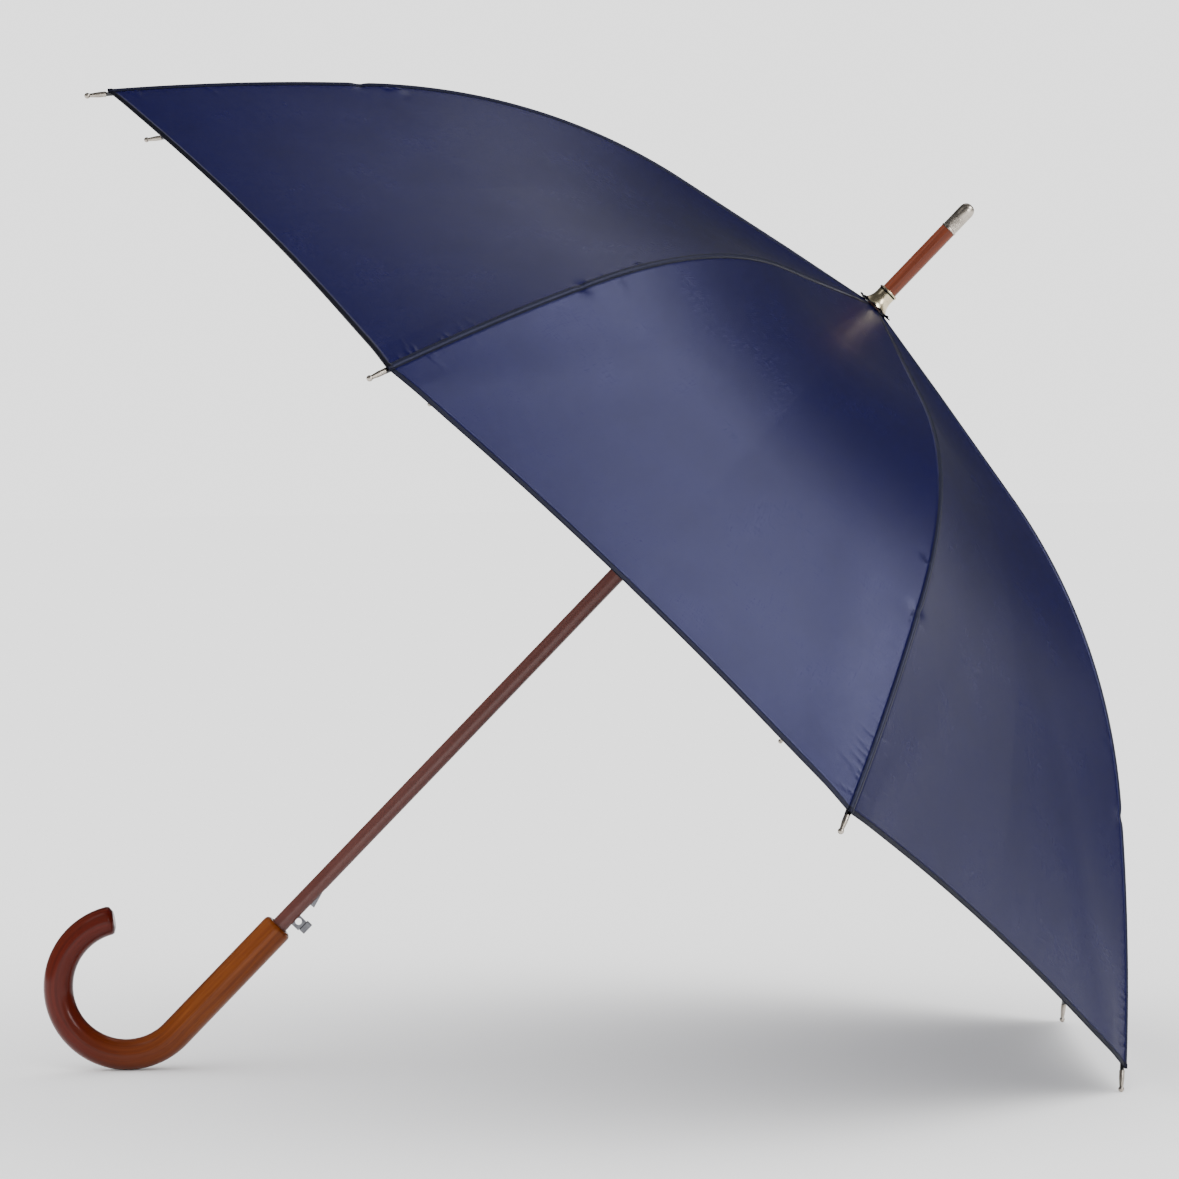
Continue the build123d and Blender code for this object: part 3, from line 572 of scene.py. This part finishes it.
def declare_sheet(s, w, width):
    """Work out the flat area and width of a cut piece of cover cloth, from its grid of s and w; nothing
    keeps the result.
    """
    p = cover_surface(s, w)
    a, b = p[1:, 1:] - p[:-1, :-1], p[1:, :-1] - p[:-1, 1:]
    area = float(np.linalg.norm(np.cross(a, b), axis=-1).sum() / 2)
    length = float(s.max() - s.min())
    width = max(width, area / length)


def skin_point(s, w, seed, side, sunk=0.0):
    """A point on the outer (side 1) or inner (-1) face of the cloth, with its seams and hem."""
    base = cover_surface(s, w)
    normal = surface_normal(cover_surface, s, w)
    lift = cloth_lift(s, w, seed)
    full = half_width(s)
    room = np.clip(0.5 * full / 0.02, 0.15, 1.0)
    if side > 0:
        lift = lift + seam_height(w * full / room) * np.clip(room * 1.4, 0, 1)
        lift = lift + HEM_OUT * np.clip((s - hem_line(w) + HEM_ROLL) / HEM_STEP, 0, 1)
    else:
        lift = lift - HEM_IN * np.clip((s - hem_line(w) + HEM_ROLL) / HEM_STEP, 0, 1)
    return base + normal * (lift - sunk + side * CLOTH_T / 2)[..., None]


def surface_normal(function, s, w, step=1.5e-4):
    """Outward unit normals by central differences of a surface function of s and w."""
    dw = step / np.maximum(half_width(s), 2e-3)
    along = function(s + step, w) - function(s - step, w)
    across = function(s, w + dw) - function(s, w - dw)
    n = np.cross(along, across)
    n /= np.maximum(np.linalg.norm(n, axis=-1, keepdims=True), 1e-15)
    return n * np.where(n[..., 2:3] < 0, -1, 1)


def grid_mesh(name, k, layers, uv, slots, materials):
    """One closed sheet from an outer and an inner layer of points, each with its own normals.

    layers are (points, normals) pairs of shape (rows, columns, 3); slots picks a material per quad."""
    rows, cols = layers[0][0].shape[:2]
    n = rows * cols
    turn = spin(rib_angle(k))
    points = to_row(np.concatenate([p.reshape(-1, 3) for p, _ in layers]) @ turn.T)
    normals = np.concatenate([q.reshape(-1, 3) for _, q in layers]) @ turn.T @ RIG3.T
    i, j = np.meshgrid(np.arange(rows - 1), np.arange(cols - 1), indexing="ij")
    a = (i * cols + j).ravel()
    quads = np.stack([a, a + cols, a + cols + 1, a + 1], -1)
    p = points[quads[:, :3]]
    facing = np.cross(p[:, 1] - p[:, 0], p[:, 2] - p[:, 0])
    if np.einsum("ij,ij->i", facing, normals[quads[:, 0]]).sum() < 0:
        quads = quads[:, ::-1]
    faces = quads.tolist() + (quads[:, ::-1] + n).tolist()
    ring = list(range(cols)) + [cols * r + cols - 1 for r in range(1, rows)]
    ring += [cols * (rows - 1) + c for c in range(cols - 2, -1, -1)]
    ring += [cols * r for r in range(rows - 2, 0, -1)]
    faces += [(a, b, b + n, a + n) for a, b in zip(ring, ring[1:] + ring[:1])]
    mesh = bpy.data.meshes.new(name)
    mesh.from_pydata(points.tolist(), [], faces)
    layer = mesh.uv_layers.new(name="UVMap")
    corner = np.zeros(len(mesh.loops), np.int32)
    mesh.loops.foreach_get("vertex_index", corner)
    layer.data.foreach_set("uv", np.tile(uv.reshape(-1, 2), (2, 1))[corner].ravel().astype(np.float32))
    for material in materials:
        mesh.materials.append(material)
    which = np.concatenate([slots.ravel(), slots.ravel(), np.full(len(ring), int(slots.ravel()[-1]))])
    mesh.polygons.foreach_set("material_index", which.astype(np.int32))
    mesh.polygons.foreach_set("use_smooth", np.ones(len(mesh.polygons), bool))
    mesh.normals_split_custom_set_from_vertices(normals.tolist())
    piece = bpy.data.objects.new(name, mesh)
    bpy.context.scene.collection.objects.link(piece)
    return piece


def faced_layers(s, w, seed, sunk=0.0):
    """The outer and inner layers of the cloth over a grid of s and w."""
    outer = skin_point(s, w, seed, 1, sunk)
    inner = skin_point(s, w, seed, -1, sunk)
    outer_n = surface_normal(lambda s, w: skin_point(s, w, seed, 1, sunk), s, w)
    inner_n = -surface_normal(lambda s, w: skin_point(s, w, seed, -1, sunk), s, w)
    return [(outer, outer_n), (inner, inner_n)]


def stepped(a, b, step):
    """Even places from a to b, about a step apart."""
    return np.linspace(a, b, max(2, int(round((b - a) / step)) + 1))


# millimetres across the rib's line, close together where the felled seam rises and ends
SEAM_COLUMNS = (-5, -4.4, -3.9, -3.4, -2.9, -2.5, -2.2, -1.95, -1.7, -1.4, -1.0, -0.5, 0.0, 0.5, 0.9,
                1.2, 1.4, 1.6, 1.72, 1.85, 2.0, 2.2, 2.5, 2.9, 3.4, 3.9, 4.4, 5)


def strip_half(s):
    """Half the width of the seam band, which fills the narrow start of the panels."""
    return np.where(s <= STRIP_FROM, half_width(s) - 5e-5, STRIP_HALF)


def cover_strip(k, materials):
    """The band of cloth sewn over a rib, from the crown to the hem."""
    rows = np.concatenate([stepped(0.0015, STRIP_FROM, 0.001), stepped(STRIP_FROM + 0.002, 0.24, 0.003),
                           stepped(0.242, 0.29, 0.0015), stepped(0.2925, HEM_AT - 0.12, 0.0028),
                           stepped(HEM_AT - 0.1185, HEM_AT - 0.005, 0.0015),
                           HEM_AT - HEM_ROLL * HEM_ROWS])
    columns = np.array(SEAM_COLUMNS) / 5
    s = np.repeat(rows[:, None], len(columns), 1)
    d = columns[None, :] * strip_half(rows)[:, None]
    w = d / half_width(s)
    s = np.where(s > HEM_AT - 0.005, s + hem_line(w) - HEM_AT, s)
    slots = np.zeros((len(rows) - 1, len(columns) - 1), int)
    middle = (columns[1:] + columns[:-1]) / 2 * 5
    # painted sheen on the seam's raised band, painted shade in the groove beside it and on the rows of the
    # hem
    slots[:, (middle > -2.0) & (middle < 1.65)] = SEAM_SHEEN
    slots[:, (middle > 1.65) & (middle < 2.5)] = PAINTED_SHADE
    slots[1 - len(HEM_ROWS):, :] = PAINTED_SHADE
    piece = grid_mesh(f"cover_seam_{k}", k, faced_layers(s, w, CLOTH_SEED + k), np.stack([d, s], -1), slots,
                      materials)
    ends = [cover_surface(np.array([at]), np.array([0.0]))[0] for at in (JOINT_AT - 0.004, JOINT_AT + 0.004)]
    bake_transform(piece)
    declare_sheet(s, w, 2 * STRIP_HALF)
    return piece


def wing_shares():
    """Shares of a wing's width: close together beside the seam, then even."""
    near = np.array([0, 0.7, 1.4, 2.2, 3.1, 4.1, 5.3, 6.7, 8.4, 10.5, 13.0, 16.0]) / 1000
    return near, np.linspace(0, 1, 25)[1:]


def wing_grid(rows_of, side):
    """s and w over a wing: rows_of(w) gives the arc lengths down the wing at each column."""
    near, far = wing_shares()
    s = np.repeat(rows_of(np.array([0.0]))[:, :1], len(near) + len(far), 1)
    for _ in range(3):
        full, start = half_width(s[:, :1]), strip_half(s[:, :1])
        room = full - start
        inner = near[None, :] * np.minimum(1.0, 0.4 * room / near[-1])
        d = start + np.concatenate([inner, inner[:, -1:] + (room - inner[:, -1:]) * far[None, :]], 1)
        w = np.clip(d / half_width(s), 0, 1)
        w[:, -1] = 1.0
        s = rows_of(w)
    return s, w * side


def chord_normal(a, b):
    """Middle of the rib's line from s = a to b, and the direction square to its chord, outward."""
    line = cover_surface(np.linspace(a, b, 40), np.zeros(40))
    middle = line.mean(0)
    along = np.linalg.svd(line - middle)[2][0]
    along = along * np.sign(along[0])
    return middle, np.array([-along[2], 0, along[0]])


def add_wing(k, side, lower, materials):
    """Half a panel beside rib k, above or below the rib's joint, from the seam band to mid-panel."""
    if lower:
        fine = np.concatenate([np.linspace(0, 0.6, 36, endpoint=False), np.linspace(0.6, 0.984, 62),
                               1 - HEM_SHARE * HEM_ROWS])

        def rows_of(w):
            start = split_line(w)
            return start + (hem_line(w) - start) * fine[:, None]
    else:
        fine = np.concatenate([[0, 0.008], np.linspace(0.02, 1, 60)])

        def rows_of(w):
            return STRIP_FROM + (split_line(w) - STRIP_FROM) * fine[:, None]

    s, w = wing_grid(rows_of, side)
    seed = CLOTH_SEED + k
    layers = faced_layers(s, w, seed)
    slots = np.zeros((s.shape[0] - 1, s.shape[1] - 1), int)
    if lower:
        # painted shade on the rows of the rolled hem
        slots[1 - len(HEM_ROWS):, :] = PAINTED_SHADE
        tuck = np.array([[1.0], [0.66], [0.33], [0.0]])
        s_flap = split_line(w[:1]) - SPLIT_FLAP * np.abs(w[:1]) * tuck
        w_flap = np.repeat(w[:1], len(tuck), 0)
        flap = faced_layers(s_flap, w_flap, seed, FLAP_SUNK)
        layers = [(np.concatenate([f[0], l[0]]), np.concatenate([f[1], l[1]])) for f, l in zip(flap, layers)]
        s, w = np.concatenate([s_flap, s]), np.concatenate([w_flap, w])
        slots = np.concatenate([np.zeros((len(tuck), slots.shape[1]), int), slots])
    d = np.abs(w) * half_width(s)
    part = "lower" if lower else "upper"
    hand = "a" if side < 0 else "b"
    piece = grid_mesh(f"cover_{part}_{k}{hand}", k, layers, np.stack([side * d, s], -1), slots, materials)
    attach(piece, f"rib_outer_{k}" if lower else f"rib_inner_{k}")
    ends, tilt, keep = LOWER_FOLD if lower else UPPER_FOLD
    middle, outward = chord_normal(*ends)
    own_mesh(piece)
    declare_sheet(s, w, float(d.max()))
    return piece


CLOTH_TONES = (0.0018, 0.0014, 0.028), (0.0027, 0.0021, 0.043)     # dark and light threads
# the seam band's cloth is lighter and greyer than the panels: a painted sheen where the folded band catches
# light
SEAM_SHEEN_TONES = (0.0045, 0.0050, 0.015), (0.008, 0.009, 0.023)
# near-black cloth: painted shade in the groove beside the seam and on the rolled hem
PAINTED_SHADE_TONES = (0.0012, 0.0013, 0.004), (0.002, 0.002, 0.006)
WASHER_TONES = (0.0022, 0.0022, 0.0035), (0.005, 0.005, 0.008)


def add_cover():
    """The eight panels: per rib a seam band and four wings. Returns the cloth's material."""
    materials = [
        cloth("cover_cloth", *CLOTH_TONES, 0.29),
        # the seam's cloth carries a painted sheen, the next one a painted shade
        cloth("cover_seam", *SEAM_SHEEN_TONES, 0.42, 1.4),
        cloth("cover_painted_shade", *PAINTED_SHADE_TONES, 0.5),
    ]
    for k in range(1, RIBS + 1):
        pieces = [cover_strip(k, materials)]
        for side in (-1, 1):
            for lower in (False, True):
                pieces.append(add_wing(k, side, lower, materials))
        for piece in pieces:
            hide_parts(f"cover_{k}")
    return materials[0]


# ---- turned, swept and sewn pieces -------------------------------------------------------------
def rings_mesh(name, rings, uv, material, sharp=40):
    """A surface through rings of points (rows, columns, 3) in the shaft's frame."""
    rows, cols = rings.shape[:2]
    points = to_row(rings.reshape(-1, 3))
    j = np.arange(cols)
    quads = [np.stack([i * cols + j, i * cols + (j + 1) % cols, (i + 1) * cols + (j + 1) % cols,
                       (i + 1) * cols + j], -1) for i in range(rows - 1)]
    faces = np.concatenate(quads)
    mesh = bpy.data.meshes.new(name)
    mesh.from_pydata(points.tolist(), [], faces.tolist())
    layer = mesh.uv_layers.new(name="UVMap")
    column = np.tile(np.stack([j, j + 1, j + 1, j], -1).ravel(), rows - 1)
    row = np.concatenate([np.tile([i, i, i + 1, i + 1], len(j)) for i in range(rows - 1)])
    layer.data.foreach_set("uv", uv[row, column].ravel().astype(np.float32))
    mesh.materials.append(material)
    mesh.polygons.foreach_set("use_smooth", np.ones(len(mesh.polygons), bool))
    work = bmesh.new()
    work.from_mesh(mesh)
    bmesh.ops.remove_doubles(work, verts=work.verts, dist=1e-6)
    bmesh.ops.recalc_face_normals(work, faces=work.faces)
    work.to_mesh(mesh)
    work.free()
    mesh.set_sharp_from_angle(angle=math.radians(sharp))
    piece = bpy.data.objects.new(name, mesh)
    bpy.context.scene.collection.objects.link(piece)
    return piece


def circle(columns):
    """Even angles round a full turn."""
    return np.linspace(0, 2 * math.pi, columns, endpoint=False)


def wrap_uv(columns, radius, length):
    """UVs in metres for a surface of rings: around it, and the length along it."""
    around = np.linspace(0, 2 * math.pi, columns + 1) * radius
    return np.stack(np.broadcast_arrays(around[None, :], length[:, None]), -1)


def lathe(name, profile, columns, material, texture):
    """Turned about the shaft's axis from (radius, height) pairs in millimetres."""
    profile = np.array(profile) / 1000
    angle = circle(columns)
    z = np.repeat(profile[:, 1:], columns, 1)
    r = np.repeat(profile[:, :1], columns, 1) + texture(angle[None, :], z)
    rings = np.stack([r * np.cos(angle), r * np.sin(angle), z], -1)
    length = np.concatenate([[0], np.cumsum(np.linalg.norm(np.diff(profile, axis=0), axis=1))])
    return rings_mesh(name, rings, wrap_uv(columns, profile[:, 0].max(), length), material)


CAP_FOOT, CAP_WALL, CAP_TOP = 357.05, 5.7, 381.5     # its foot, wall radius and top, in millimetres
CAP_BORE = 4.3
CAP_DOME = 6.2
CAP_RIM = ((5.6, 0), (5.95, 0.15), (6.1, 0.5), (6.12, 0.9), (6.05, 1.3), (5.8, 1.6), (5.5, 1.75),
           (5.5, 2.0), (5.66, 2.2))          # radius, height over the foot
CAP_GROOVE = 5.55
BELT = (CAP_FOOT + 2.6, CAP_FOOT + 11.0)
BELT_STEP = 0.12
BELT_FADE = 0.4
KNURL_TURNS, KNURL_PITCH = 30, 1.15
KNURL_HIGH, KNURL_DEEP = 0.24, 0.20
CAP_COLUMNS = 300


def knurl(angle, z):
    """Crossed knurling on the belt, as an offset of the radius in metres."""
    above = np.clip((z * 1000 - BELT[0]) / BELT_FADE, 0, 1)
    inside = above * np.clip((BELT[1] - z * 1000) / BELT_FADE, 0, 1)
    around, climb = KNURL_TURNS / 2 * angle, 2 * math.pi / KNURL_PITCH * z * 1000
    left, right = np.cos(around + climb / 2), np.cos(around - climb / 2)
    return inside * (np.clip(np.abs(left * right), 0, 1) * KNURL_HIGH - KNURL_DEEP) / 1000


def add_end_cap(material):
    """A domed metal cap with a knurled belt over a bead rim."""
    dome_from, dome_steps = CAP_TOP - CAP_DOME, 18
    fuller_r, fuller_z = 0.82, 0.95          # powers that make the dome fuller than an ellipse
    profile = [(CAP_BORE, CAP_FOOT)] + [(r, CAP_FOOT + z) for r, z in CAP_RIM]
    profile += [(CAP_WALL, z) for z in np.arange(BELT[0], BELT[1] + 0.05, BELT_STEP)]
    profile += [(CAP_GROOVE, BELT[1] + 0.25), (CAP_GROOVE, BELT[1] + 0.5), (CAP_WALL, BELT[1] + 0.75)]
    profile.append((CAP_WALL, dome_from))
    for i in range(1, dome_steps + 1):
        a = math.pi / 2 * i / dome_steps
        z = dome_from + (CAP_TOP - dome_from) * math.sin(a) ** fuller_z
        profile.append((CAP_WALL * math.cos(a) ** fuller_r, z))
    piece = lathe("ferrule_end_cap", profile, CAP_COLUMNS, material, knurl)
    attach(piece, "shaft_body")
    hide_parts("end_cap")


GRIP_TOP, GRIP_LENGTH, GRIP_R, GRIP_ROUND = -0.341, 0.109, 0.0114, 0.0036
CROOK_R, CROOK_SWEEP = 0.0494, math.radians(216)
CROOK_END_R, CROOK_ROUND = 0.0104, 0.004
HANDLE_BORE = 0.00605
HANDLE_COLUMNS = 72


def crook_place(share):
    """Middle, direction and radius of the bend at a share of its sweep."""
    a = CROOK_SWEEP * share
    place = (-CROOK_R + CROOK_R * math.cos(a), GRIP_TOP - GRIP_LENGTH - CROOK_R * math.sin(a))
    radius = GRIP_R + (CROOK_END_R - GRIP_R) * share
    left = (1 - share) * CROOK_SWEEP * CROOK_R
    if left < CROOK_ROUND:
        gone = CROOK_ROUND - left
        radius = radius - CROOK_ROUND + math.sqrt(max(CROOK_ROUND ** 2 - gone ** 2, 0))
    return place, (-math.sin(a), -math.cos(a)), radius


def handle_places():
    """(middle, direction, radius) along the handle, from the edge of its bore to its end face."""
    down = (0, -1)
    places = [((0, GRIP_TOP - 0.0008), down, HANDLE_BORE),
              ((0, GRIP_TOP - 0.0001), down, HANDLE_BORE + 0.0006)]
    steps = 12
    for i in range(steps + 1):
        a = math.pi / 2 * i / steps
        z = GRIP_TOP - GRIP_ROUND + GRIP_ROUND * math.cos(a)
        places.append(((0, z), down, GRIP_R - GRIP_ROUND + GRIP_ROUND * math.sin(a)))
    straight = np.linspace(GRIP_TOP - 0.0045, GRIP_TOP - GRIP_LENGTH, 56)
    places += [((0, z), down, GRIP_R) for z in straight]
    places += [crook_place(share) for share in np.linspace(0, 1, 100)[1:]]
    end, along, _ = places[-1]
    return places + [(end, along, (CROOK_END_R - CROOK_ROUND) * share) for share in (0.75, 0.4, 0.12, 0.0)]


def add_handle(material):
    """The crook, swept along its straight grip and bend, with rounded ends."""
    places = handle_places()
    angle = circle(HANDLE_COLUMNS)[:, None]
    rings = []
    lengths = [0.0]
    for (x, z), (ax, az), radius in places:
        out = np.array([-az, 0, ax])
        rings.append(np.array([x, 0, z]) + radius * (np.cos(angle) * out + np.sin(angle) * [0, 1, 0]))
    for ((px, pz), _, before), ((x, z), _, after) in zip(places, places[1:]):
        step = math.hypot(x - px, z - pz) + abs(after - before) * 0.5
        lengths.append(lengths[-1] + step)
    uv = wrap_uv(HANDLE_COLUMNS, GRIP_R, np.array(lengths))
    piece = rings_mesh("crook_handle_wood", np.array(rings), uv, material, sharp=60)
    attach(piece, "shaft_body")
    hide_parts("crook_handle")


WASHER_BORE, WASHER_R, WASHER_FREE = 6.2, 14.2, 9.6             # millimetres; the ruffle starts at FREE
WASHER_LIFT, WASHER_HALF_T = 1.35, 0.2
RUFFLE_WAVES = (7, 11, 13, 17)
RUFFLE_LOW, RUFFLE_HIGH = 0.25, 1.9
WASHER_COLUMNS, WASHER_ROWS = 180, 16


def add_washer(material):
    """The ruffled cloth washer between the crown cap and the cover."""
    rng = np.random.default_rng(7)
    angle = circle(WASHER_COLUMNS)
    ruffle = sum(rng.uniform(0.5, 1.0) * np.sin(m * angle + rng.uniform(0, 6.28)) for m in RUFFLE_WAVES)
    ruffle = (ruffle - ruffle.min()) / (ruffle.max() - ruffle.min())
    edge = 0.4 * np.sin(9 * angle + 1.0) + 0.35 * np.sin(23 * angle + 2.0)
    reach = np.linspace(0, 1, WASHER_ROWS)
    rows = []
    for layer, shares in ((1, reach), (-1, reach[::-1])):
        for t in shares:
            r = WASHER_BORE + (WASHER_R + edge - WASHER_BORE) * t
            fall = (r - CROWN_R * 1000) * math.tan(RUN_SLOPES[0])
            free = np.clip((r - WASHER_FREE) / (WASHER_R - WASHER_FREE), 0, 1)
            lift = WASHER_LIFT + free ** 1.5 * (RUFFLE_LOW + RUFFLE_HIGH * ruffle) + layer * WASHER_HALF_T
            z = CROWN_Z * 1000 - fall + lift
            rows.append(np.stack([r * np.cos(angle), r * np.sin(angle), z], -1) / 1000)
    uv = np.stack(np.meshgrid(np.linspace(0, 0.08, WASHER_COLUMNS + 1), np.linspace(0, 0.02, len(rows))), -1)
    piece = rings_mesh("crown_washer_ruffle", np.array(rows), uv, material, sharp=70)
    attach(piece, "shaft_body")
    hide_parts("crown_washer")


STRAP_RIB = 3
STRAP_FROM = 0.589                           # arc length of the sewn end
STRAP_LENGTH = 0.14
STRAP_HALF = 0.011
STRAP_LIFT, STRAP_HALF_T = 0.0015, 0.00055
STRAP_POINT = 0.009                          # length over which the free end narrows
STITCH_AT, STITCH_HALF, STITCH_DEEP = 0.0093, 0.0003, 0.00012
EDGE_ROUND = 0.0005
CURL_FROM, CURL_OVER, CURL_RISE = 0.09, 0.05, 0.0012            # the free end lifts a little
STRAP_HALF_COLUMNS = (0, 1, 2.5, 4, 6, 8.4, 9.2, 9.6, 10.5, 10.85, 11)
RIDGE_REACH, RIDGE_LIFT = 0.003, 0.0004
STUD_FROM_END, STUD_LIFT = 0.012, 0.0034
STUD_COLUMNS = 64
STUD_PROFILE = ((5.0, -0.9), (5.0, -0.3), (4.85, 0.0), (4.5, 0.16), (4.1, 0.2), (3.9, 0.12), (3.7, -0.02),
                (3.4, -0.05), (3.1, 0.05), (2.6, 0.3), (1.8, 0.5), (0.9, 0.6), (0.0, 0.62))


def strap_point(s, d, lift):
    """A point over the seam of a rib, d to its side, that bridges the seam's ridge."""
    w = d / half_width(s)
    left = surface_normal(cover_surface, s, np.full_like(w, -0.05))
    right = surface_normal(cover_surface, s, np.full_like(w, 0.05))
    share = 0.5 + 0.5 * np.tanh(d / RIDGE_REACH)
    normal = left * (1 - share)[..., None] + right * share[..., None]
    normal /= np.linalg.norm(normal, axis=-1, keepdims=True)
    rise = lift + RIDGE_LIFT * np.exp(-(d / RIDGE_REACH) ** 2)
    return cover_surface(s, w) + normal * rise[..., None]


def add_strap(material):
    """The closing strap: folded tape with a stitch groove along its edges, sewn on over a seam."""
    half = np.array(STRAP_HALF_COLUMNS)
    across = np.concatenate([-half[:0:-1], half]) / 1000
    rows = np.linspace(0, STRAP_LENGTH, 90)
    t = np.repeat(rows[:, None], len(across), 1)
    point = np.clip((t - STRAP_LENGTH + STRAP_POINT) / STRAP_POINT, 0, 1)
    d = np.repeat(across[None, :], len(rows), 0) * np.sqrt(np.clip(1 - 0.8 * point ** 2, 0.1, 1))
    s = STRAP_FROM - t
    curl = CURL_RISE * np.clip((t - CURL_FROM) / CURL_OVER, 0, 1) ** 2
    edge = np.clip((STRAP_HALF - np.abs(d)) / EDGE_ROUND, 0, 1)
    groove = STITCH_DEEP * np.exp(-((np.abs(d) - STITCH_AT) / STITCH_HALF) ** 2)

    def face(side):
        lift = STRAP_LIFT + curl + side * STRAP_HALF_T * (0.35 + 0.65 * edge) - (side > 0) * groove
        e = 2e-4
        along = strap_point(s + e, d, lift) - strap_point(s - e, d, lift)
        n = np.cross(along, strap_point(s, d + e, lift) - strap_point(s, d - e, lift))
        n /= np.linalg.norm(n, axis=-1, keepdims=True)
        n *= np.where(n[..., 2:3] < 0, -1, 1) * side
        return strap_point(s, d, lift), n

    slots = np.zeros((len(rows) - 1, len(across) - 1), int)
    piece = grid_mesh("tie_strap_cloth", STRAP_RIB, [face(1), face(-1)], np.stack([d, s], -1), slots,
                      [material])
    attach(piece, f"rib_outer_{STRAP_RIB}")
    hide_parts("tie_strap")


def add_stud(material):
    """The press stud on the strap's free end."""
    at = np.array([STRAP_FROM - STRAP_LENGTH + STUD_FROM_END])

    def near(s, d):
        return strap_point(s, np.array([d]), STUD_LIFT)[0]

    middle = near(at, 0.0)
    side = near(at, 0.002) - near(at, -0.002)
    side /= np.linalg.norm(side)
    along = near(at + 0.002, 0.0) - middle
    along /= np.linalg.norm(along)
    up = np.cross(side, along)
    up *= np.sign(up[2])
    rings = np.array([[middle + (side * math.cos(a) + along * math.sin(a)) * r / 1000 + up * h / 1000
                       for a in circle(STUD_COLUMNS)] for r, h in STUD_PROFILE])
    uv = np.zeros((len(STUD_PROFILE), STUD_COLUMNS + 1, 2))
    stud = rings_mesh("tie_snap_stud", rings @ spin(rib_angle(STRAP_RIB)).T, uv, material, sharp=50)
    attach(stud, f"rib_outer_{STRAP_RIB}")
    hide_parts("tie_snap")


add_camera()
add_lights()
add_floor()
cover_cloth = add_cover()
finishes = finish_cad_nodes()
add_end_cap(finishes["rib_tip_1"])
add_handle(handle_wood())
add_washer(cloth("washer_cloth", *WASHER_TONES, 0.7, 1.5))
add_strap(cover_cloth)
add_stud(finishes["rib_tip_1"])
